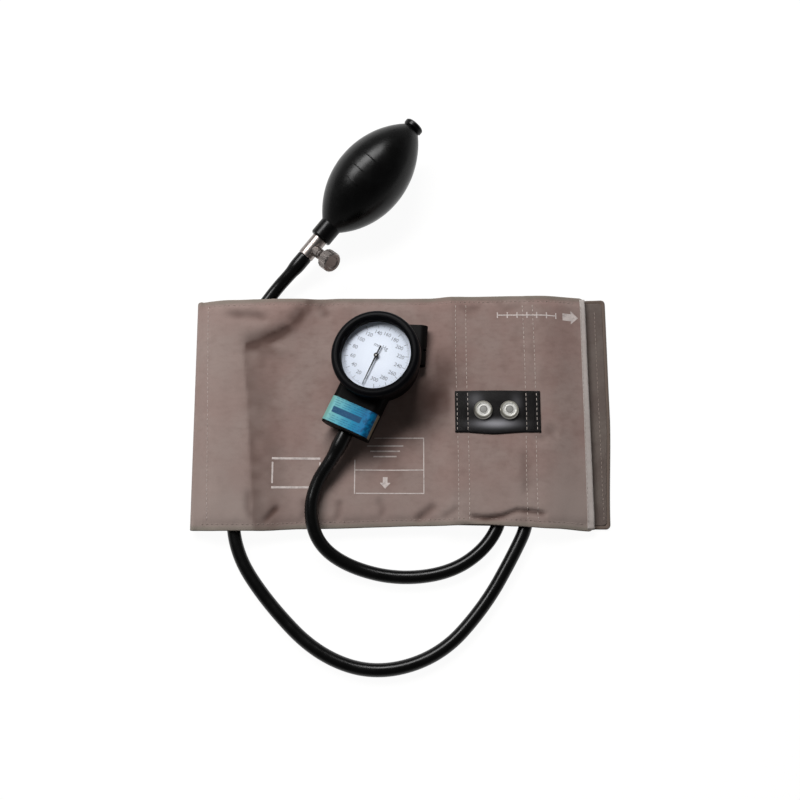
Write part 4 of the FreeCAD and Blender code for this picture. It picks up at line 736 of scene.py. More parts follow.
def grid_faces(rows: int, columns: int) -> Array:
    """The four-cornered faces of a grid of points."""
    at = np.arange(rows * columns).reshape(rows, columns)
    return np.stack((at[:-1, :-1], at[1:, :-1], at[1:, 1:], at[:-1, 1:]), axis=-1).reshape(-1, 4)


def grid_normals(points: Array) -> Array:
    """The direction at right angles to a grid of points, at each of them."""
    normals = np.cross(np.gradient(points, axis=0), np.gradient(points, axis=1))
    return normals / np.maximum(np.linalg.norm(normals, axis=-1, keepdims=True), 1e-12)


def mark_points(made: bpy.types.Object, name: str, values: Array) -> None:
    """Give each corner of a shell's two faces three numbers that its finish reads."""
    mark = made.data.attributes.new(name, "FLOAT_VECTOR", "POINT")
    flat = np.concatenate((values.reshape(-1, 3), values.reshape(-1, 3)))
    mark.data.foreach_set("vector", flat.astype(np.float32).ravel())


def shell(name: str, outer: Array, inner: Array, cloth: Array | None = None) -> bpy.types.Object:
    """Close two grids of points into one thin body; cloth is each point's place on the cut."""
    rows, columns = outer.shape[:2]
    count = rows * columns
    faces = grid_faces(rows, columns)
    at = np.arange(count).reshape(rows, columns)
    rim = np.concatenate((at[0, :-1], at[:-1, -1], at[-1, :0:-1], at[:0:-1, 0]))
    after = np.roll(rim, -1)
    side = np.stack((rim, after, after + count, rim + count), axis=-1)
    points = np.concatenate((outer.reshape(-1, 3), inner.reshape(-1, 3)))
    made = mesh_object(name, points, np.concatenate((faces, faces[:, ::-1] + count, side)))
    if cloth is not None:
        mark_points(made, "cloth", cloth)
    return made


def join_parts(name: str, parts: Iterable[Part], smooth: bool = True) -> bpy.types.Object:
    """Make one mesh object of several sets of points and faces."""
    points, faces, start = [], [], 0
    for part_points, part_faces in parts:
        points.append(part_points)
        faces.extend([index + start for index in face] for face in part_faces)
        start += len(part_points)
    return mesh_object(name, np.concatenate(points), faces, smooth)


def length_along(line: Array) -> Array:
    """How far along a line of points each of them is."""
    return np.concatenate(([0.0], np.cumsum(np.linalg.norm(np.diff(line, axis=0), axis=1))))


def tube_part(line: Array, radii: Array, sides: int) -> Part:
    """A round tube along a line of points, with its radius at each and so many flat sides."""
    lead = np.gradient(line, axis=0)
    lead /= np.linalg.norm(lead, axis=1, keepdims=True)
    up = np.array((0.0, 0.0, 1.0)) if abs(lead[0, 2]) < 0.9 else np.array((1.0, 0.0, 0.0))
    across = np.cross(lead, up)
    across /= np.linalg.norm(across, axis=1, keepdims=True)
    rise = np.cross(across, lead)
    turn = np.arange(sides) * (TURN / sides)
    ring = across[:, None] * np.cos(turn)[None, :, None] + rise[:, None] * np.sin(turn)[None, :, None]
    points = (line[:, None] + ring * np.asarray(radii)[:, None, None]).reshape(-1, 3)
    at = np.arange(len(line) * sides).reshape(len(line), sides)
    beside = np.roll(at, -1, axis=1)
    return points, np.stack((at[:-1], beside[:-1], beside[1:], at[1:]), axis=-1).reshape(-1, 4)


class Ripples:
    """Seeded smooth noise over a plane, from -1 to 1."""

    def __init__(self, seed: int, cells: int = 61) -> None:
        """Draw the noise's table."""
        self.table = np.random.default_rng(seed).uniform(-1, 1, (cells, cells))

    def at(self, x: Array, y: Array, size: float) -> Array:
        """The noise at some places, with its hills about size apart."""
        cells = len(self.table)
        u, v = np.asarray(x) / size, np.asarray(y) / size
        i, j = np.floor(u).astype(int), np.floor(v).astype(int)
        along, across = ease(u - i), ease(v - j)
        near, far = (
            self.table[(i + down) % cells, j % cells] * (1 - across)
            + self.table[(i + down) % cells, (j + 1) % cells] * across
            for down in (0, 1)
        )
        return near * (1 - along) + far * along


@dataclass(frozen=True)
class Crease:
    """A fold along a line: a ridge if its height is above zero, else a valley.

    Points are in millimetres. Lean makes the side on the line's left wider than the side on its right.
    """

    points: tuple[tuple[float, float], ...]
    height: float
    width: float
    lean: float = 0.0
    taper: float = 0.3

    def nearest(self, x: Array, y: Array) -> tuple[Array, Array]:
        """How far places are from the line, above zero on its left, and what share of it is passed there."""
        line = np.array(self.points) * MM
        lengths = np.linalg.norm(np.diff(line, axis=0), axis=1)
        best = np.full(np.shape(x), np.inf)
        signed, share = np.zeros(np.shape(x)), np.zeros(np.shape(x))
        passed = 0.0
        for start, end, length in zip(line, line[1:], lengths):
            way = (end - start) / length
            off_x, off_y = x - start[0], y - start[1]
            along = np.clip(off_x * way[0] + off_y * way[1], 0, length)
            distance = np.hypot(off_x - along * way[0], off_y - along * way[1])
            nearer = distance < best
            best = np.where(nearer, distance, best)
            left = np.where(way[0] * off_y - way[1] * off_x >= 0, 1.0, -1.0)
            signed = np.where(nearer, distance * left, signed)
            share = np.where(nearer, (passed + along) / lengths.sum(), share)
            passed += length
        return signed, share

    def lift(self, x: Array, y: Array) -> Array:
        """How much it raises the cloth at some places."""
        signed, share = self.nearest(x, y)
        width = self.width * MM * np.where(signed > 0, 1 + self.lean, 1 - self.lean)
        ends = ease(np.minimum(share, 1 - share) / self.taper)
        return self.height * MM * bell(signed, width) * ends


# ---------------------------------------------------------------- the cuff


# Painted highlights on the leather patch: below the studs where it bows, and beside them.
PAINTED_HIGHLIGHTS = ((57.5, -8.9, 11.0, 2.4, 0.9), (45.8, 6.0, 4.0, 4.2, 0.22), (70.6, 4.0, 3.0, 4.5, 0.16))


@dataclass
class Cuff:
    """The folded arm cuff: cover, lining, bladder, binding, leather patch and stitching."""

    fold: float = -119.7 * MM
    fold_radius: float = 4.0 * MM
    reach: float = 115.6 * MM
    lower_reach: float = 128.0 * MM
    half_width: float = 72.75 * MM
    cover: float = 0.8 * MM
    lining: float = 0.6 * MM
    bladder: float = 2.0 * MM
    ply_gap: float = 0.05 * MM
    rim: float = 1.5 * MM
    rim_width: float = 2.2 * MM
    corner: float = 3.0 * MM
    hump: float = 12.9 * MM
    dip: float = 9.2 * MM
    edge: float = 6.0 * MM
    pitch: float = 1.25 * MM
    lower_pitch: float = 2.6 * MM
    cross_pitch: float = 1.35 * MM
    fold_rows: int = 13
    sewn_inset: float = 4.0 * MM
    stitch_pitch: float = 2.8 * MM
    stitch_length: float = 2.0 * MM
    tape: float = 0.42 * MM
    tape_inset: float = 0.985
    leather: float = 0.95 * MM
    leather_edge: float = 0.7 * MM
    ink: float = 0.07 * MM
    patch_left: float = 33.3 * MM
    patch_right: float = 85.0 * MM
    patch_low: float = -14.0 * MM
    patch_high: float = 11.5 * MM
    patch_top: float = 14.5 * MM
    depth: float = 1.5
    ripples: Ripples = field(default_factory=lambda: Ripples(11))
    fine: Ripples = field(default_factory=lambda: Ripples(29))

    HEM_ROWS = (0, 0.1, 0.25, 0.5, 0.9, 1.5, 2.4)
    BAG_ROWS = (0, 0.2, 0.6, 1.4)
    BAG_AREA = (-103 * MM, 85 * MM, 60.5 * MM)
    CLIP_AREA = (-20 * MM, 20 * MM, 22 * MM, 54 * MM)
    BACK_EDGE = ((-124, 70.4), (-112, 70.2), (-100, 70.5), (-88, 71.0), (-76, 71.4), (-60, 71.4), (-34, 72.6),
                 (25, 72.6), (45, 72.5), (72, 73.0), (116, 73.8))
    FRONT_EDGE = ((-124, -72.4), (-108, -72.9), (-85, -72.8), (-57, -71.6), (24, -69.7), (52, -69.4),
                  (68, -70.3), (92, -71.5), (116, -72.7))
    LOWER_BACK_EDGE = ((-124, 70.0), (-97, 71.0), (45, 71.3), (105, 72.6), (118, 73.4), (130, 73.8))
    LOWER_FRONT_EDGE = ((-124, -72.0), (-108, -71.9), (-85, -71.6), (-57, -70.4), (24, -68.5), (68, -69.0),
                        (105, -71.0), (128, -71.2))
    LOWER_END_EDGE = ((-73, -1.3), (0, 1.6), (73, 1.9))
    HUMP_EDGE = Crease(
        ((-86, -90), (-89, -50), (-93, 0), (-97, 36), (-96, 43), (-81, 49), (-68, 56), (-61, 66), (-54, 84)), 0, 1
    )
    CREASES = (
        Crease(((-98, 42), (-86, 45.2), (-75, 48.6), (-66, 54.5)), -0.85, 4.6, 0.0, 0.2),
        Crease(((-110, 60), (-98, 60), (-88, 59.3), (-78, 57.5)), -0.75, 3.0),
        Crease(((-69, 53), (-64.7, 58.5), (-60, 68)), -0.8, 4.0),
        Crease(((-53, 68), (-48, 64.5), (-44, 58)), -0.6, 2.8),
        Crease(((-90, -46), (-90, -60), (-86, -70)), -0.7, 2.0),
        Crease(((-71, -57), (-76, -62), (-82, -69)), -0.8, 1.8),
        Crease(((-58, -52), (-56, -60), (-57, -68)), -0.5, 2.0),
        Crease(((-36, -53), (-36, -61), (-37, -68)), -0.6, 2.2),
        Crease(((-14, -52), (-10, -60), (-11, -67)), -0.55, 2.2),
        Crease(((8, -68), (16.2, -61.8), (23, -56)), -0.9, 2.6),
        Crease(((24, -66), (31, -62), (36, -58)), -0.6, 2.2),
        Crease(
            ((41, -63.4), (45.5, -64.9), (51.2, -65.4), (60.8, -63.9), (69.3, -60.8), (77, -61.2), (88, -62.9)),
            -1.3, 1.6, -0.35, 0.1,
        ),
        Crease(((30, -65), (44, -68), (56, -69)), 0.5, 2.2),
        Crease(((81, -20), (88, -13), (97, -15)), -0.6, 4.0),
        Crease(((74, -22), (76, -40), (75, -56)), -0.55, 3.2, 0.0, 0.25),
        Crease(((33, 68), (42, 63), (52, 66)), -0.5, 2.6),
        Crease(((58, 70), (66, 64), (78, 67)), -0.4, 2.4),
        Crease(((-20, -20), (-5, -34), (2, -50)), -0.35, 7.0),
        Crease(((8, 60), (14, 40), (20, 22)), -0.4, 6.0),
        Crease(((-74, 20), (-70, -10), (-66, -34)), 0.3, 9.0),
        Crease(((90, 40), (98, 10), (95, -30)), 0.35, 8.0),
    )
    SEAM_PAIRS = ((34.6, 41.0), (76.0, 82.1))
    # Painted shadows, each with its X, Y and width in millimetres and its share: the gauge's, to its right and below
    # it, and the gauge hose's.
    STAINS = ((24.0, 7.0, 14.0, 0.52), (10.0, -4.0, 12.0, 0.34), (-28.0, -28.0, 9.0, 0.15), (27.0, 28.0, 13.0, 0.38))
    RESTS = ((-33.0, 33.0, 13.0, 1.5), (-50.0, -52.0, 9.0, 1.0))

    def outline_y(self, x: Array, across: Array, lower: bool = False) -> Array:
        """A half's Y at places along it, for shares across it from -1 to 1."""
        back = through(x, self.LOWER_BACK_EDGE if lower else self.BACK_EDGE)
        front = through(x, self.LOWER_FRONT_EDGE if lower else self.FRONT_EDGE)
        return front + (back - front) * (across + 1) / 2

    def from_hem(self, x: Array, y: Array) -> Array:
        """How far places in the upper half are from its nearer hem."""
        return np.minimum(through(x, self.BACK_EDGE) - y, y - through(x, self.FRONT_EDGE))

    def past_hump(self, x: Array, y: Array, soft: float) -> Array:
        """How far places are past the foot of the hump at the left, with a soft start."""
        signed, _ = self.HUMP_EDGE.nearest(x, y)
        return (np.hypot(signed, soft) - signed) / 2

    def crown(self, x: Array, y: Array) -> Array:
        """The upper half's height before its creases: it lies over the hoses and sinks between them."""
        left = np.exp(-self.past_hump(x, y, 2.4 * MM) / (11 * MM - 6 * MM * ramp(y, 22, 22)))
        right = ramp(x, 18, 15)
        level = self.dip + (self.hump - self.dip) * np.maximum(left, right)
        fold_top = 2 * self.fold_radius
        rise = np.sin(np.clip((x - self.fold) / (15 * MM), 0, 1) * math.pi / 2)
        near_fold = fold_top + (level - fold_top) * rise
        fall = ease((x - 86 * MM) / (self.reach - 84 * MM))
        return near_fold + (self.edge - near_fold) * fall

    def puckers(self, x: Array, y: Array) -> Array:
        """Gathers along the hems' seams and along the seams that cross the cuff."""
        inside = self.from_hem(x, y)
        gather = self.ripples.at(x, np.where(y > 0, 0.2, 0.6), 7 * MM)
        gather = gather + 0.6 * self.fine.at(x, np.where(y > 0, 0.3, 0.9), 3.4 * MM)
        lift = 0.34 * gather * bell(inside - 5.5 * MM, 4.2 * MM) - 0.28 * bell(inside - 4.0 * MM, 0.9 * MM)
        for pair in self.SEAM_PAIRS:
            for seam in pair:
                lift = lift - 0.16 * bell(x - self.seam_x(seam, y), 1.0 * MM)
            small = self.fine.at(y, 0.4 + 0 * x + pair[0], 4.5 * MM)
            lift = lift + 0.16 * small * bell(x - self.seam_x(sum(pair) / 2, y), 5 * MM)
        from_fold_seam = x - self.fold_seam_x(y)
        tug = self.fine.at(y, 0.7 + 0 * x, 5 * MM)
        return MM * (lift - 0.2 * bell(from_fold_seam, 0.9 * MM) + 0.14 * tug * bell(from_fold_seam, 5 * MM))

    def seam_x(self, seam: float, y: Array) -> Array:
        """Where a seam across the cuff runs, in metres, for its X at the middle in millimetres."""
        return seam * MM + 0.4 * MM * np.sin(y / (24 * MM) + seam)

    def fold_seam_x(self, y: Array) -> Array:
        """Where the seam beside the fold runs."""
        return self.fold + 4.2 * MM - 1.9 * MM * y / self.half_width

    def calm(self, x: Array, y: Array) -> Array:
        """0 under the leather patch and under the gauge's clip, where the cloth lies flat, else 1."""

        def inside(low_x: float, high_x: float, low_y: float, high_y: float, soft: float) -> Array:
            """1 inside a box, easing to 0 outside it."""
            return 1 - ease(np.maximum.reduce((low_x - x, x - high_x, low_y - y, y - high_y)) / soft)

        patch = inside(self.patch_left, self.patch_right, self.patch_low, self.patch_high, 5 * MM)
        clip = inside(*self.CLIP_AREA, 4 * MM)
        return (1 - patch) * (1 - 0.8 * clip)

    def top(self, x: Array, y: Array) -> Array:
        """The height of the upper half's outer face."""
        relief = self.puckers(x, y) + self.depth * sum(crease.lift(x, y) for crease in self.CREASES)
        for ripples, height, size in ((self.ripples, 0.42, 27), (self.fine, 0.16, 9), (self.ripples, 0.05, 3.6)):
            relief = relief + height * MM * ripples.at(x, y, size * MM)
        relief = relief + MM * spots(x, y, self.RESTS)
        quiet = ease((x - self.fold) / (6 * MM)) * ease((self.reach - x) / (4 * MM) + 0.3)
        drop = 1.1 * MM * (1 - ease(self.from_hem(x, y) / (9 * MM)))
        return self.crown(x, y) + relief * self.calm(x, y) * quiet - drop

    def handling(self, points: Array) -> Array:
        """How shaded, rubbed and faded the cover is: painted shade in its folds, on the slope past the hump and in
        cast shadows, rubbed at its hems, faded in front.
        """
        x, y, z = np.moveaxis(points, -1, 0)
        # Painted shade on the slope past the foot of the hump, which falls away from the light.
        past = self.past_hump(x, y, 1.0 * MM)
        slanted = ramp(y, 34, 9)
        flat = 1 - ease((past - (12 - 8.5 * slanted) * MM) / ((15 - 10 * slanted) * MM))
        slope = (flat * 0.36 + np.exp(-past / (5 * MM)) * 0.22) * (1 - bell(past, 1.2 * MM))
        soil_and_shade = slope * (1 + 0.35 * slanted * (1 - ramp(x, -78, 14)))
        # Painted shade in the valleys of the creases, and painted shadows of the gauge and its hose.
        soil_and_shade = soil_and_shade - 0.55 / MM * sum(crease.lift(x, y) for crease in self.CREASES if crease.height < 0)
        soil_and_shade = soil_and_shade + spots(x, y, self.STAINS)
        soil_and_shade = soil_and_shade * (1 + 0.3 * self.fine.at(x, y, 5 * MM)) * self.calm(x, y)
        # A little darker towards the back and the right.
        soil_and_shade = soil_and_shade + 0.075 * ramp(y, -25, 50) * ramp(x, -84, 20)
        rub = 1 - ramp(self.from_hem(x, y), 1.6, 1.8)
        rub = rub * (0.8 + 0.2 * self.ripples.at(x, y, 9 * MM))
        fade = 0.45 * ramp(x, 80, 20) * (1 - ramp(y, -45, 35))
        fade = fade + 0.2 * (1 - ramp(y, -58, 18)) + 0.22 * (1 - ramp(y, -60, 45))
        fade = fade + 0.34 * (1 - ramp(x, -100, 28))
        # The three shares: painted shade with a little dirt, rubbing and fading. The lower half, below 4.5 mm, is
        # darkened all over as painted shade from the upper half above it, and takes the rubbed colour.
        worn = stacked(np.clip(soil_and_shade, 0, 0.85), np.clip(rub, 0, 1), np.clip(fade, 0, 1))
        return np.where(z[..., None] < 4.5 * MM, (0.55, 1.0, 0.0), worn)

    def stretch_of(self, near_ends: Sequence[float], low: float, high: float, step: float) -> Array:
        """Places from low to high, a step apart, and closer together at both ends."""
        near = np.array(near_ends) * MM
        inner = np.linspace(low + near[-1], high - near[-1], max(2, round((high - low) / step)))
        return np.concatenate((low + near[:-1], inner, high - near[:-1][::-1]))

    def rounded(self, from_end: Array, from_side: Array) -> tuple[Array, Array]:
        """How far points move in from a square corner's two sides, so that they fill a round one."""
        inside = (from_end < self.corner) & (from_side < self.corner)
        a = np.clip(1 - from_end / self.corner, 0, 1)
        b = np.clip(1 - from_side / self.corner, 0, 1)
        pulls = (self.corner * one * (1 - np.sqrt(1 - other * other / 2)) for one, other in ((a, b), (b, a)))
        return tuple(np.where(inside, pull, 0.0) for pull in pulls)

    def path(self, ply: float, set_back: float) -> tuple[Array, Array, Array]:
        """The X of each row of a ply, from the lower end round the fold, its turn there, and the length passed."""
        ends = len(self.HEM_ROWS) - 1
        lower = self.stretch_of(self.HEM_ROWS, self.fold, self.lower_reach - set_back, self.lower_pitch)[::-1][:-ends]
        upper = self.stretch_of(self.HEM_ROWS, self.fold, self.reach - set_back, self.pitch)[ends:]
        turns = np.linspace(0, math.pi, self.fold_rows)[1:-1]
        x = np.concatenate((lower, np.full(len(turns) + 2, self.fold), upper))
        turn = np.concatenate((np.zeros(len(lower) + 1), turns, np.full(len(upper) + 1, math.pi)))
        steps = np.abs(np.diff(x)) + np.diff(turn) * (self.fold_radius - ply)
        return x, turn, np.concatenate(([0.0], np.cumsum(steps)))

    def fold_shift(self, x: Array, share: Array) -> Array:
        """How far along X the fold's slant carries the cloth near it, for its share of the half width."""
        return (-2.7 * MM - 0.9 * MM * share) * ease((self.fold + 40 * MM - x) / (40 * MM))

    def ply(self, depth: Callable[[Array, Array], Array], start: float, set_back: float) -> tuple[Array, Array]:
        """The outer face of a ply that goes round the fold, and the place of each point on the cut.

        It lies depth below the cover's top in the upper half and start above the table in the lower half, and
        it stops set_back short of the cover's edges.
        """
        x, turn, passed = self.path(start, set_back)
        half = self.half_width - set_back
        across = self.stretch_of(self.HEM_ROWS, -half, half, self.cross_pitch)
        flat = np.meshgrid(x, across, indexing="ij")
        turns, passed = (np.repeat(part[:, None], len(across), axis=1) for part in (turn, passed))
        upper, lower = turns > math.pi - 1e-6, turns < 1e-6
        ends = np.where(upper, self.reach, self.lower_reach) - set_back - flat[0]
        pull_end, pull_side = self.rounded(np.where(upper | lower, ends, 1.0), half - np.abs(flat[1]))
        rows = flat[0] - pull_end
        columns = flat[1] - np.sign(flat[1]) * pull_side
        share = columns / self.half_width
        slant = np.where(lower, 1.0, 0.0) * ramp(rows, 80, 48)
        shift = self.fold_shift(rows, share) + slant * through(columns, self.LOWER_END_EDGE)
        y_upper = self.outline_y(rows, share)
        blend = (1 - np.cos(turns)) / 2
        y = self.outline_y(rows, share, lower=True) * (1 - blend) + y_upper * blend
        radius = self.fold_radius - start
        over = self.top(rows, y_upper) - depth(rows, y_upper)
        z = np.where(upper, over, self.fold_radius - radius * np.cos(turns))
        return stacked(rows + shift - radius * np.sin(turns), y, z), stacked(passed, columns, 0.0)

    def plies(self, points: Array, thin: float, thick: float, rim_width: float) -> tuple[Array, Array]:
        """Both faces of a ply from its outer one, thicker along its rim and round at its edge."""
        away = np.inf
        for axis, first in ((1, points[:, :1]), (0, points[:1])):
            passed = np.cumsum(np.linalg.norm(np.diff(points, axis=axis, prepend=first), axis=-1), axis=axis)
            away = np.minimum(away, np.minimum(passed, passed.max(axis=axis, keepdims=True) - passed))
        normal = grid_normals(points)
        depth = thick - (thick - thin) * ease((away - rim_width * 0.8) / (rim_width * 0.3))
        half = depth / 2
        short = np.clip(half - away, 0, None)
        tuck = half - np.sqrt(np.clip(half * half - short * short, 0, None))
        return points - normal * tuck[..., None], points - normal * (depth - tuck)[..., None]

    def bladder_gap(self, x: Array, y: Array) -> Array:
        """How far the lining is below the cover: a bladder's thickness inside, nothing at the edges."""
        side = 1 - ramp(np.abs(y), 61, 6)
        ends = ramp(x, -108, 6) * (1 - ramp(x, 84, 6))
        return self.ply_gap + self.bladder * side * ends

    def build_cover(self) -> bpy.types.Object:
        """The cover: one sheet of cloth, folded once."""
        points, cloth = self.ply(lambda x, y: 0 * x, 0.0, 0.0)
        outer, inner = self.plies(points, self.cover, self.rim, self.rim_width)
        made = shell("cuff_cover", outer, inner, cloth)
        # Painted shade, rubbing and fading, for the cloth finish to read.
        mark_points(made, "handling", self.handling(outer))
        return made

    def build_lining(self) -> bpy.types.Object:
        """The lining, inside the cover and the bladder."""
        start = self.cover + self.ply_gap
        points, cloth = self.ply(lambda x, y: self.cover + self.bladder_gap(x, y), start, self.rim_width)
        outer, inner = self.plies(points, self.lining, self.lining, 1 * MM)
        return shell("cuff_lining", outer, inner, cloth)

    def build_bladder(self) -> bpy.types.Object:
        """The flat rubber bag between cover and lining in the upper half."""
        left, right, side = self.BAG_AREA
        x = self.stretch_of(self.BAG_ROWS, left, right, 3 * MM)
        y = self.stretch_of(self.BAG_ROWS, -side, side, 3 * MM)
        rows, columns = np.meshgrid(x, y, indexing="ij")
        away = np.minimum.reduce((rows - x[0], x[-1] - rows, columns - y[0], y[-1] - columns))
        spare = self.bladder_gap(rows, columns) - self.ply_gap
        pinch = 0.9 * spare / 2 * round_edge(away / (self.BAG_ROWS[-1] * MM))
        roof = self.top(rows, columns) - self.cover - self.ply_gap
        lower = stacked(rows, columns, roof - spare + 0.06 * MM + pinch)
        return shell("bladder_bag", stacked(rows, columns, roof - pinch), lower)

    def build_binding(self) -> bpy.types.Object:
        """The tape folded round the upper half's free edge, wider on top towards the front."""
        y = np.linspace(-1, 1, 130)
        width = (3.2 - 0.5 * y) * MM
        ends = 1 - 0.985 * np.clip((np.abs(y) - 0.965) / 0.035, 0, 1) ** 4
        rows = []
        for share in (1.0, 0.97, 0.75, 0.5, 0.25, 0.08):
            x = self.reach - width * share
            at = self.outline_y(x, y * self.tape_inset)
            lift = self.tape * (0.25 if share == 1.0 else 1.0) * ends
            rows.append(stacked(x, at, self.top(x, at) + lift))
        edge_x = self.reach + 0 * y
        at = self.outline_y(edge_x, y * self.tape_inset)
        lip = self.top(edge_x - 0.6 * MM, at) - self.rim / 2
        half = self.rim / 2 + self.tape
        for turn in (0.35, 0.65, 1.0, 1.35, 1.65):
            angle = turn * math.pi / 2
            x = edge_x - 0.5 * MM + 1.1 * half * math.sin(angle)
            rows.append(stacked(x, at, lip + half * math.cos(angle)))
        for share in (0.1, 0.5, 1.0):
            x = edge_x - 4.5 * MM * share
            rows.append(stacked(x, at, self.top(x, at) - self.rim - self.tape))
        face = np.array(rows)
        face[..., 1] = np.clip(face[..., 1], -self.half_width - 0.2 * MM, None)
        inner = face - grid_normals(face) * (0.3 * MM)
        return shell("binding_tape", face, inner, stacked(face[..., 0] + face[..., 2], face[..., 1], 0.0))

    def on_patch(self, x: Array, y: Array) -> tuple[Array, Array, Array]:
        """Places as shares of the patch's half sides, and how much its studs raise it there."""
        p = (2 * x - self.patch_left - self.patch_right) / (self.patch_right - self.patch_left)
        q = (2 * y - self.patch_low - self.patch_high) / (self.patch_high - self.patch_low)
        return p, q, (1 - ease((np.abs(p) - 0.30) / 0.48)) * (1 - ease((np.abs(q) - 0.45) / 0.62))

    def build_patch(self) -> bpy.types.Object:
        """The leather patch, crowned under the studs and bowed along its front edge."""
        fine = np.array((0.0, 0.12, 0.35, 0.7)) * MM
        places = []
        for low, high, count in ((self.patch_left, self.patch_right, 60), (self.patch_low, self.patch_high, 40)):
            inner = (low + high) / 2 + np.linspace(-1, 1, count)[2:-2] * (high - low) / 2
            places.append(np.concatenate((low + fine, inner, high - fine[::-1])))
        x, straight = np.meshgrid(*places, indexing="ij")
        away = np.minimum.reduce(
            (x - self.patch_left, self.patch_right - x, straight - self.patch_low, self.patch_high - straight)
        )
        p, q, crown = self.on_patch(x, straight)
        bow = -1.1 * MM * (1 - ease(np.abs(p + 0.12) / 0.72)) * ease(-q) + 0.35 * MM * (1 - p * p) * ease(q)
        y = straight + bow
        ground = self.top(x, y)
        seams = sum(bell(x - self.seam_x(seam, y), 0.8 * MM) for pair in self.SEAM_PAIRS for seam in pair)
        low = ground + self.leather
        surface = low + (self.patch_top - low) * crown - 0.22 * MM * seams
        surface = np.minimum(surface + 0.08 * MM * self.fine.at(x, y, 6 * MM) * (1 - crown), self.patch_top)
        tuck = 0.45 * MM * round_edge(away / self.leather_edge)
        return shell("leather_patch", stacked(x, y, surface - tuck), stacked(x, y, ground + 0.02 * MM))

    def patch_face(self, x: Array, y: Array) -> Array:
        """The height of the patch's face, near enough for its stitches."""
        low = self.top(x, y) + self.leather
        return low + (self.patch_top - low) * self.on_patch(x, y)[2] - 0.2 * MM

    def stitch_line(
        self, name: str, lines: Sequence[Array], lift: float, thread: float, height: Callable[[Array, Array], Array]
    ) -> bpy.types.Object:
        """Stitches along lines on a face: how far they stand above it, their radius and the face's height."""
        reach = np.array((-0.5, -0.44, -0.25, 0.0, 0.25, 0.44, 0.5)) * self.stitch_length
        sink = np.array((-2.2, -0.5, 0.6, 1.0, 0.6, -0.5, -2.2)) * lift
        radii = np.array((0.5, 0.9, 1.0, 1.05, 1.0, 0.9, 0.5)) * thread
        parts = []
        for line in lines:
            passed = length_along(line)
            count = int(passed[-1] / self.stitch_pitch)
            for number in range(count):
                centre = (number + 0.5) * passed[-1] / count
                x, y = (np.interp(centre + reach, passed, line[:, axis]) for axis in (0, 1))
                pulled = x + self.fold_shift(x, y / self.half_width)
                parts.append(tube_part(stacked(pulled, y, height(x, y) + sink), radii, 6))
        return join_parts(name, parts)

    def sewn_lines(self) -> tuple[list[Array], ...]:
        """The lines of the hems, the seams across, the fold, the lower end, the patch and the tape."""

        def across(place: Callable[[Array], Array], low: float, high: float, count: int) -> Array:
            """A line across the cuff, whose X follows from its Y."""
            y = np.linspace(low, high, count)
            return stacked(place(y), y)

        def seam_at(seam: float) -> Callable[[Array], Array]:
            """Where one of the paired seams runs."""
            return lambda y: self.seam_x(seam, y)

        inset = self.sewn_inset / self.half_width
        x = np.linspace(self.fold + 3 * MM, self.reach - 6 * MM, 400)
        hems = [stacked(x, self.outline_y(x, side + 0 * x)) for side in (1 - inset, inset - 1)]
        end = 67 * MM
        beside_patch = ((-end, self.patch_low - 1.6 * MM), (self.patch_high + 1.2 * MM, end))
        low, high = self.patch_low + 0.8 * MM, self.patch_high - 0.8 * MM
        sewn_down = (self.patch_left + 1.3 * MM, 41.0 * MM, 76.4 * MM, self.patch_right - 2.2 * MM)
        return (
            hems,
            [across(seam_at(seam), *part, 160) for pair in self.SEAM_PAIRS for seam in pair for part in beside_patch],
            [across(lambda y: self.fold_seam_x(y) + 1.0 * MM, -end, end, 300)],
            [across(lambda y: self.lower_reach - 5.2 * MM, -66 * MM, 66 * MM, 200)],
            [across(lambda y, place=place: place, low, high, 60) for place in sewn_down],
            [across(lambda y: self.reach - 2.8 * MM + 0.5 * MM * y / self.half_width, -68 * MM, 68 * MM, 200)],
        )

    def decal(self, name: str, strips: Iterable[Strip]) -> bpy.types.Object:
        """Marks printed on the upper half, each with its four corners, anticlockwise, in millimetres."""
        parts = []
        for strip in strips:
            a, b, c, d = np.array(strip, float) * MM
            rows, columns = (max(2, round(np.linalg.norm(end - a) / (0.7 * MM)) + 1) for end in (b, d))
            u, v = np.meshgrid(np.linspace(0, 1, rows), np.linspace(0, 1, columns), indexing="ij")
            u, v = u[..., None], v[..., None]
            flat = a * (1 - u) * (1 - v) + b * u * (1 - v) + c * u * v + d * (1 - u) * v
            x, y = flat[..., 0], flat[..., 1]
            face = stacked(x, y, self.top(x, y) + self.ink)
            parts.append((face.reshape(-1, 3), grid_faces(rows, columns)))
        return join_parts(name, parts)

    def marks(self) -> list[Strip]:
        """The printed guide marks: an index line and arrow, and a frame with an arrow for the artery."""

        def box(low_x: float, high_x: float, low_y: float, high_y: float) -> Strip:
            """A mark with straight sides."""
            return [(low_x, low_y), (high_x, low_y), (high_x, high_y), (low_x, high_y)]

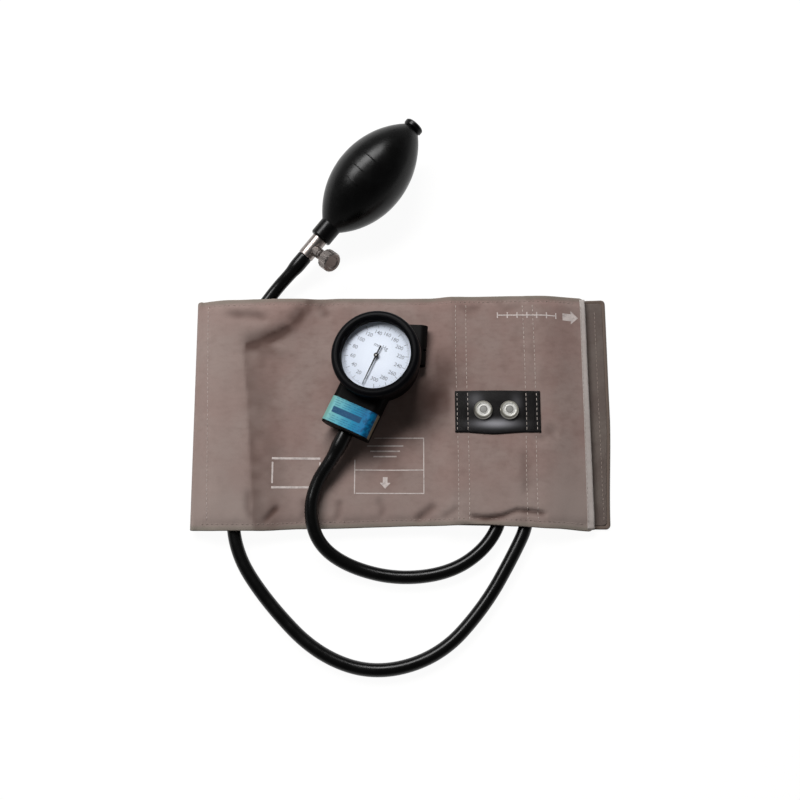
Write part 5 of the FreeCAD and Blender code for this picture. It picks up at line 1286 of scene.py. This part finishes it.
        index_y = 60.0
        arrow = [
            box(60.0, 96.5, index_y - 0.35, index_y + 0.35),
            *[box(60.0 + 6.08 * tick, 60.7 + 6.08 * tick, index_y - 1.9, index_y + 1.9) for tick in range(7)],
            box(101.2, 107.0, index_y - 2.3, index_y + 2.3),
            [(106.6, index_y - 4.3), (111.4, index_y), (111.4, index_y), (106.6, index_y + 4.3)],
        ]
        left, right, low, high, bar, line = -27.5, 14.6, -50.7, -16.5, -36.6, 0.6
        frame = [
            box(left + 1, right, low, low + line),
            box(right - line, right, low, high),
            box(-15.5, right, high - line, high),
            box(left, left + line, low, -30.0),
            box(left, right, bar, bar + line),
            box(-10.3, -7.5, -44.2, -40.6),
            [(-12.2, -44.0), (-8.9, -47.6), (-8.9, -47.6), (-5.6, -44.0)],
        ]
        lines = [box(-20.0 + 2 * row, 2.0 - 2 * row, -22.0 - 3.2 * row, -21.2 - 3.2 * row) for row in range(3)]
        range_bars = [
            *[box(-77.0, -48.0, height, height + 1.3) for height in (-30.0, -47.5)],
            *[box(-77.0 + 7.1 * tick, -76.0 + 7.1 * tick, -44.5, -31.5) for tick in (0, 4)],
        ]
        return [*arrow, *frame, *lines, *range_bars]

    def build(self) -> None:
        """Build and dress every soft piece of the cuff, and hide the plain solid that each stands for."""
        soft = (
            (self.build_cover(), "outer_cover", Cloth("cover_cloth", paint(141, 119, 113), 0.86)),
            # The lining is darkened past its own colour as painted shade, for its strip that shows beside the upper
            # half's edge.
            (self.build_lining(), "inner_lining", Cloth(
                "lining_cloth", paint(100, 89, 84), 0.9, False, 0.36 * MM, paint(78, 66, 62), paint(118, 110, 103)
            )),
            (self.build_bladder(), "bladder", Rubber("bladder_rubber", paint(40, 40, 40), 0.6)),
            (self.build_binding(), "edge_binding", Cloth(
                "binding_cloth", paint(172, 164, 160), 0.85, False, 0.5 * MM, paint(128, 114, 108),
                paint(186, 180, 176), patchiness=0.4, mottle=0.0,
            )),
            (self.build_patch(), "stud_patch", Leather("patch_leather", paint(13, 11, 11), 0.42, 0.14, PAINTED_HIGHLIGHTS)),
        )
        pale = Thread("pale_thread", paint(196, 184, 176), 0.7)
        taupe = Thread("taupe_thread", paint(158, 142, 134), 0.75)
        faded = Thread("faded_thread", paint(186, 172, 166), 0.75)
        hems, seams, fold, strip, patch, tape = self.sewn_lines()
        level = self.cover + self.lining + self.ply_gap
        thin = [
            (self.stitch_line(name, lines, lift * MM, thread * MM, height), finish)
            for name, lines, lift, thread, height, finish in (
                ("hem_stitches", hems, 0.16, 0.16, self.top, taupe),
                ("seam_stitches", seams, 0.16, 0.16, self.top, pale),
                ("fold_stitches", fold, 0.16, 0.16, self.top, faded),
                ("strip_stitches", strip, 0.14, 0.15, lambda x, y: level + 0 * x, taupe),
                ("patch_stitches", patch, 0.2, 0.19, self.patch_face, pale),
                ("binding_stitches", tape, 0.15, 0.14, lambda x, y: self.top(x, y) + self.tape, taupe),
            )
        ]
        marks = self.decal("guide_marks", self.marks())
        thin.append((marks, Ink("guide_ink", paint(198, 186, 182), 0.8, 0.4)))
        for piece, node, finish in soft:
            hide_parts(node)
        for piece, finish in (*((piece, finish) for piece, _, finish in soft), *thin):
            wear(piece, finish)
            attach(piece, ROOT)


# ---------------------------------------------------------------- the hoses


@dataclass
class Hose:
    """A rubber hose along its route, whose last stretch is spread by the barb inside it."""

    name: str
    node: str
    route: tuple[tuple[float, float, float], ...]
    length: float
    diameter: float = 8.0 * MM
    spread: float = 0.75 * MM
    collar: float = 0.0

    def build(self, finish: Finish) -> None:
        """The hose as a smooth curve, and the spread end as a sleeve of the same rubber: one cord."""
        curve = bpy.data.curves.new(self.name, "CURVE")
        curve.dimensions = "3D"
        spline = curve.splines.new("NURBS")
        spline.points.add(len(self.route) - 1)
        for point, place in zip(spline.points, self.route):
            point.co = (*(MM * part for part in place), 1.0)
        spline.order_u = 3
        spline.use_endpoint_u = True
        spline.resolution_u = 14
        hose = linked(bpy.data.objects.new(self.name, curve))
        line, _ = flat_mesh(hose)
        curve.bevel_depth = self.diameter / 2
        curve.bevel_resolution = 7
        curve.use_fill_caps = True
        end = self.sleeve(line)
        for piece in (hose, end):
            wear(piece, finish)
            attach(piece, ROOT)
        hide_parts(self.node)

    def sleeve(self, line: Array) -> bpy.types.Object:
        """The end of the hose that the barb spreads."""
        passed = length_along(line)
        back = np.array((16.0, 14.5, 13.0, 11.5, 10.0, 8.5, 6.0, 3.5, 1.2, 0.5, 0.15, 0.0, -0.02)) * MM
        back[-5:] -= self.collar
        swell = np.array((0.02, 0.05, 0.16, 0.45, 0.72, 0.92, 1.0, 0.96, 0.98, 0.9, 0.6, 0.1, -0.05))
        lead = (line[-1] - line[-2]) / np.linalg.norm(line[-1] - line[-2])
        run = stacked(*(np.interp(passed[-1] - back, passed, line[:, axis]) for axis in range(3)))
        run += np.clip(-back, 0, None)[:, None] * lead
        return join_parts(f"{self.name}_end", [tube_part(run, self.diameter / 2 + self.spread * swell, 40)])


GAUGE_HOSE = Hose(
    "gauge_hose_rubber",
    "gauge_hose",
    (
        (61.5, -48.0, 5.45), (62.0, -63.5, 5.45), (50.5, -83.5, 5.45), (29.0, -97.25, 4.05),
        (-1.5, -100.75, 4.15), (-30.0, -93.75, 4.8), (-48.0, -81.25, 12.4), (-53.5, -62.0, 15.3),
        (-49.5, -44.0, 14.9), (-39.25, -29.84, 18.59), (-32.84, -16.29, 19.36),
    ),
    0.2156,
    collar=1.15 * MM,
)
BULB_HOSE = Hose(
    "bulb_hose_rubber",
    "bulb_hose",
    (
        (76.5, -48.0, 5.45), (77.5, -65.75, 5.45), (67.5, -86.25, 5.45), (50.0, -116.25, 4.05),
        (23.5, -144.75, 4.15), (-14.0, -155.25, 4.05), (-48.5, -143.75, 4.15), (-78.0, -114.25, 4.05),
        (-97.5, -85.75, 5.45), (-101.0, -55.75, 5.45), (-101.2, -11.75, 5.45), (-99.5, 30.0, 5.45),
        (-92.5, 58.0, 5.45), (-79.0, 78.5, 5.45), (-67.07, 89.2, 12.31), (-59.43, 98.3, 13.98),
    ),
    0.4604,
)


# ---------------------------------------------------------------- the gauge


def by_node(looks: Iterable[tuple[Finish, str]]) -> dict[str, Finish]:
    """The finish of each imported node, from finishes and the names of the nodes that wear them."""
    return {name: finish for finish, names in looks for name in names.split()}


@dataclass
class Gauge:
    """The dial gauge: its finishes and the print on its dial."""

    frame: Frame
    face: float
    sweep: float = 340.0
    full_scale: int = 300
    number_step: int = 20
    number_radius: float = 14.3 * MM
    number_height: float = 2.3 * MM
    unit_height: float = 2.4 * MM
    type_size: float = 1.4
    type_weight: float = 0.012
    unit_place: tuple[float, float] = (0.0, 6.2 * MM)
    tick_step: int = 2
    middle_step: int = 10
    tick_outer: float = 19.6 * MM
    tick_lengths: tuple[float, float, float] = (1.1 * MM, 1.7 * MM, 2.5 * MM)
    tick_widths: tuple[float, float, float] = (0.13 * MM, 0.2 * MM, 0.32 * MM)
    film: float = 0.03 * MM

    def heading(self, pressure: float) -> Array:
        """The direction of a pressure on the dial, which is clockwise from the neck as seen."""
        angle = -math.pi / 2 - math.radians(self.sweep) * pressure / self.full_scale
        return np.array((math.cos(angle), math.sin(angle)))

    def on_dial(self, flat: Array) -> Array:
        """Flat points laid on the dial as a thin film."""
        return self.frame.points(stacked(flat[:, 0], flat[:, 1], self.face + self.film))

    def tick(self, pressure: int) -> Part:
        """One line of the scale."""
        rank = sum(pressure % step == 0 for step in (self.middle_step, self.number_step))
        out = self.heading(pressure)
        side = np.array((-out[1], out[0])) * self.tick_widths[rank] / 2
        near, far = out * (self.tick_outer - self.tick_lengths[rank]), out * self.tick_outer
        return self.on_dial(np.array((near - side, far - side, far + side, near + side))), [[0, 1, 2, 3]]

    def lettering(self, text: str, size: float, place: Sequence[float]) -> Part:
        """A number or the unit, with its height and where its middle is on the dial."""
        curve = bpy.data.curves.new("lettering", "FONT")
        curve.body = text
        curve.size = size * self.type_size
        curve.align_x = "CENTER"
        curve.align_y = "CENTER"
        curve.offset = size * self.type_weight
        curve.resolution_u = 3
        points, faces = flat_mesh(linked(bpy.data.objects.new("lettering", curve)))
        bpy.data.curves.remove(curve)
        return self.on_dial(points[:, :2] + place), faces

    def build(self) -> bpy.types.Object:
        """The print on the dial, one film: its scale, its numbers and its unit."""
        parts = [self.tick(pressure) for pressure in range(0, self.full_scale + 1, self.tick_step)]
        for pressure in range(0, self.full_scale + 1, self.number_step):
            place = self.number_radius * self.heading(pressure)
            parts.append(self.lettering(str(pressure), self.number_height, place))
        parts.append(self.lettering("mmHg", self.unit_height, self.unit_place))
        return join_parts("dial_print", parts, smooth=False)

    def finishes(self) -> dict[str, Finish]:
        """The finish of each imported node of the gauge."""
        case = Moulding("case_black", paint(11, 10, 10), 0.5, rubbed=paint(18, 17, 17), shine=0.08)
        bezel = Moulding("bezel_black", paint(6, 6, 8), 0.40, 0.3 * MM, 0.006 * MM, paint(11, 11, 14), 0.10)
        clip = Moulding("clip_black", paint(11, 9, 9), 0.45, 0.25 * MM, 0.010 * MM, paint(20, 18, 18), 0.09)
        brass = Metal("brass_plate", paint(206, 172, 98), 0.3, paint(132, 104, 58))
        bronze = Metal("bronze_sheet", paint(196, 142, 94), 0.34, paint(120, 82, 52))
        steel = Metal("screw_steel", paint(176, 174, 170), 0.28)
        return by_node((
            (case, "gauge_case dial_ring"),
            (bezel, "gauge_bezel"),
            (Foil("seal_foil", paint(6, 116, 150), 0.46, frame=self.frame), "gauge_seal"),
            (Metal("nickel", paint(206, 202, 196), 0.2), "gauge_nipple"),
            (Rubber("seal_rubber", paint(34, 34, 34), 0.6), "crystal_gasket"),
            (Crystal("crystal_clear", (1.0, 1.0, 1.0), 0.03), "gauge_crystal"),
            (DialEnamel("dial_white", paint(219, 226, 238), 0.5, frame=self.frame), "dial_plate"),
            (Moulding("pointer_black", paint(22, 22, 24), 0.5, 0.2 * MM, 0.003 * MM), "pointer"),
            (clip, "gauge_clip"),
            (bronze, "capsule_lower capsule_upper hairspring"),
            (brass, "capsule_stem bottom_plate top_plate lower_spacers upper_spacers sector_gear"),
            (steel, "push_pin movement_screws pinion_arbor rocking_shaft clip_screw clip_washer"),
        ))


# ---------------------------------------------------------------- the bulb


@dataclass
class Bulb:
    """The inflation bulb with its valves: its finishes and the mould's marks on its shell.

    Each mark has its place along the bulb in millimetres, and the angles that it starts and ends at.
    """

    frame: Frame
    marks: tuple[tuple[float, float, float], ...] = ((47.7, -0.14, 0.34), (38.1, -0.06, 0.42), (29.5, -0.17, 0.33))
    mark_points: int = 18
    bead: float = 0.42 * MM
    skew: float = 1.0 * MM
    rubber: Finish = Rubber(
        "bulb_rubber", paint(5, 5, 5), 0.29, 0.6 * MM, 0.008 * MM, paint(11, 11, 12), 0.3, 0.6, 1.26
    )

    def build(self) -> bpy.types.Object:
        """The short raised lines that the mould leaves across the shell, one piece."""
        points = np.array([vertex.co for vertex in bpy.data.objects["bulb_shell"].data.vertices])
        away = points - np.array(self.frame.origin)
        along = away @ np.array(self.frame.z)
        radius = np.linalg.norm(away - along[:, None] * np.array(self.frame.z), axis=1)
        share = np.linspace(0, 1, self.mark_points)
        ends = np.sqrt(np.clip(1 - (2 * share - 1) ** 6, 0.02, 1))
        parts = []
        for place, start, end in self.marks:
            girth = radius[np.abs(along - place * MM) < 2.5 * MM].max()
            turn = start + (end - start) * share
            ring = stacked(girth * np.sin(turn), girth * np.cos(turn), place * MM + self.skew * (share - 0.5))
            parts.append(tube_part(self.frame.points(ring), self.bead * ends, 10))
        return join_parts("bulb_mould_marks", parts)

    def finishes(self) -> dict[str, Finish]:
        """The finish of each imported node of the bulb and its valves."""
        return by_node((
            (self.rubber, "bulb_shell"),
            (Metal("ball_steel", paint(188, 188, 188), 0.12), "intake_ball outlet_spring"),
            (Metal("filter_mesh", paint(196, 170, 112), 0.35, paint(120, 98, 60)), "intake_filter"),
            (Rubber("valve_seal_rubber", paint(34, 34, 34), 0.6), "stem_ring outlet_disc"),
            (
                Metal("valve_nickel", paint(156, 148, 144), 0.34, paint(112, 102, 97), 0.5),
                "intake_valve_body intake_retainer release_valve_body release_stem gland_nut release_knob outlet_seat",
            ),
        ))


# ---------------------------------------------------------------- camera, floor and light


def aimed(name: str, data: bpy.types.ID, place: Sequence[float], towards: Sequence[float]) -> bpy.types.Object:
    """Put a camera or a light somewhere, facing a point."""
    holder = linked(bpy.data.objects.new(name, data))
    holder.location = place
    holder.rotation_euler = (Vector(towards) - Vector(place)).to_track_quat("-Z", "Y").to_euler()
    return holder


@dataclass
class Studio:
    """A pale floor, one large soft light, a dome of dimmer light and the camera."""

    eye: tuple[float, float, float] = (0.0, -0.126, 0.5846)
    target: tuple[float, float, float] = (0.0, 0.009, 0.0)
    lens: float = 43.5
    sensor: float = 36.0
    light_from: tuple[float, float, float] = (-0.36, 0.68, 0.98)
    light_size: tuple[float, float] = (1.15, 0.42)
    light_power: float = 20.5
    dome_top: float = 0.07
    dome_edge: float = 0.32
    floor_size: float = 6.0
    floor_gap: float = 0.2 * MM
    floor_whites: tuple[Colour, Colour] = ((0.84, 0.84, 0.84), (0.86, 0.86, 0.86))
    floor_faint: Colour = (0.075, 0.073, 0.070)
    floor_glow: float = 0.95

    def camera(self) -> None:
        """Place the camera above the front edge of the object."""
        data = bpy.data.cameras.new("camera")
        data.lens = self.lens
        data.sensor_width = self.sensor
        data.clip_start = 0.01
        bpy.context.scene.camera = aimed("camera", data, self.eye, self.target)

    def floor(self) -> None:
        """Lay the floor: white to the camera and in reflections, with the object's shadow on it."""
        half = self.floor_size / 2
        corners = [(x * half, y * half, -self.floor_gap) for x, y in ((-1, -1), (1, -1), (1, 1), (-1, 1))]
        plane = mesh_object("floor", corners, [[0, 1, 2, 3]])
        graph = Graph(bpy.data.materials.new("floor_white"))
        path = graph.add("LightPath")
        seen = graph.math("MAXIMUM", path["Is Camera Ray"], path["Is Glossy Ray"])
        seen = graph.math("MAXIMUM", seen, path["Is Transmission Ray"])
        white = graph.mix(graph.noise(graph.place(), 0.4, 2), *self.floor_whites)
        lit = graph.add("BsdfDiffuse", {"Color": white})[0]
        faint = graph.add("BsdfDiffuse", {"Color": (*self.floor_faint, 1.0)})[0]
        glow = graph.add("Emission", {"Color": (1, 1, 1, 1), "Strength": self.floor_glow})[0]
        shown = graph.add("AddShader", {0: faint, 1: glow})[0]
        both = graph.add("MixShader", {0: seen, 1: lit, 2: shown})[0]
        graph.add("OutputMaterial", {"Surface": both})
        plane.data.materials.append(graph.owner)
        plane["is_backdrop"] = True

    def lights(self) -> None:
        """Hang the soft light and set the dome: bright near the horizon, dimmer overhead."""
        lamp = bpy.data.lights.new("softbox", "AREA")
        lamp.shape = "RECTANGLE"
        lamp.size, lamp.size_y = self.light_size
        lamp.energy = self.light_power
        aimed("softbox", lamp, self.light_from, (0, 0, 0))
        world = bpy.data.worlds.new("dome")
        bpy.context.scene.world = world
        graph = Graph(world)
        _, _, up = graph.axes(graph.add("TexCoord")["Generated"])
        level = self.dome_edge - (self.dome_edge - self.dome_top) * up.step(0.12, 0.62)
        dome = graph.add("Background", {"Color": (1.0, 1.0, 1.0, 1.0), "Strength": level})[0]
        graph.add("OutputWorld", {"Surface": dome})

    def build(self) -> None:
        """Set up the whole studio, and the plain view that colours are judged in."""
        bpy.context.scene.view_settings.view_transform = "Standard"
        self.camera()
        self.floor()
        self.lights()


# ---------------------------------------------------------------- the whole


def press(spring: bpy.types.Object) -> None:
    """Give a spring its own copy of its mesh."""
    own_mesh(spring)


def fittings() -> dict[str, Finish]:
    """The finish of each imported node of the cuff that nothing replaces."""
    low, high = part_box("stud_caps")
    centre = ((low.x + high.x) / 2, (low.y + high.y) / 2)
    spacing = high.x - low.x - (high.y - low.y)
    return by_node((
        (Moulding("port_plastic", paint(36, 36, 36), 0.5), "gauge_port bulb_port"),
        (Metal("stud_nickel", paint(216, 213, 204), 0.3), "stud_washers stud_backs"),
        (StudPlate("cap_nickel", paint(226, 225, 221), 0.36, centre, spacing), "stud_caps"),
        (Leather("strip_leather", paint(16, 14, 14), 0.45), "keyhole_strip"),
    ))


def corners() -> list[list[float]]:
    """The shown object's lowest and highest corners, as plain numbers."""
    return [list(corner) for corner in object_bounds()]


def main() -> None:
    """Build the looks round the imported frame."""
    logging.basicConfig(level=logging.INFO, format="%(name)s: %(message)s")
    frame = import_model()
    Studio().build()

    rubber = Rubber("hose_rubber", paint(6, 6, 6), 0.26, 0.5 * MM, 0.004 * MM, paint(13, 13, 14), 0.3, 0.7, 1.27)
    for hose in (GAUGE_HOSE, BULB_HOSE):
        hose.build(rubber)

    joints, nodes = frame["joints"], frame["nodes"]
    pointer = joint(joints, "pointer_turn")
    pivot = Vector(pointer["pos_m"])
    dial = Frame.facing(pivot, -Vector(pointer["axis"]), middle("gauge_nipple"))
    gauge = Gauge(dial, max((vertex.co - pivot).dot(dial.z) for vertex in nodes["dial_plate"].data.vertices))
    dial_print = gauge.build()
    wear(dial_print, Ink("dial_ink", paint(108, 114, 128), 0.6, 0.0))
    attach(dial_print, ROOT)

    valve = middle("outlet_seat")
    axis = Vector(joint(joints, "intake_ball_lift")["axis"])
    bulb = Bulb(Frame.facing(valve, axis, valve - Vector((0, 0, 1))))
    marks = bulb.build()
    wear(marks, bulb.rubber)
    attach(marks, ROOT)
    press(nodes["outlet_spring"])

    Cuff().build()
    for name, finish in (gauge.finishes() | bulb.finishes() | fittings()).items():
        wear(nodes[name], finish)

    bpy.context.view_layer.update()


if __name__ == "__main__":
    main()
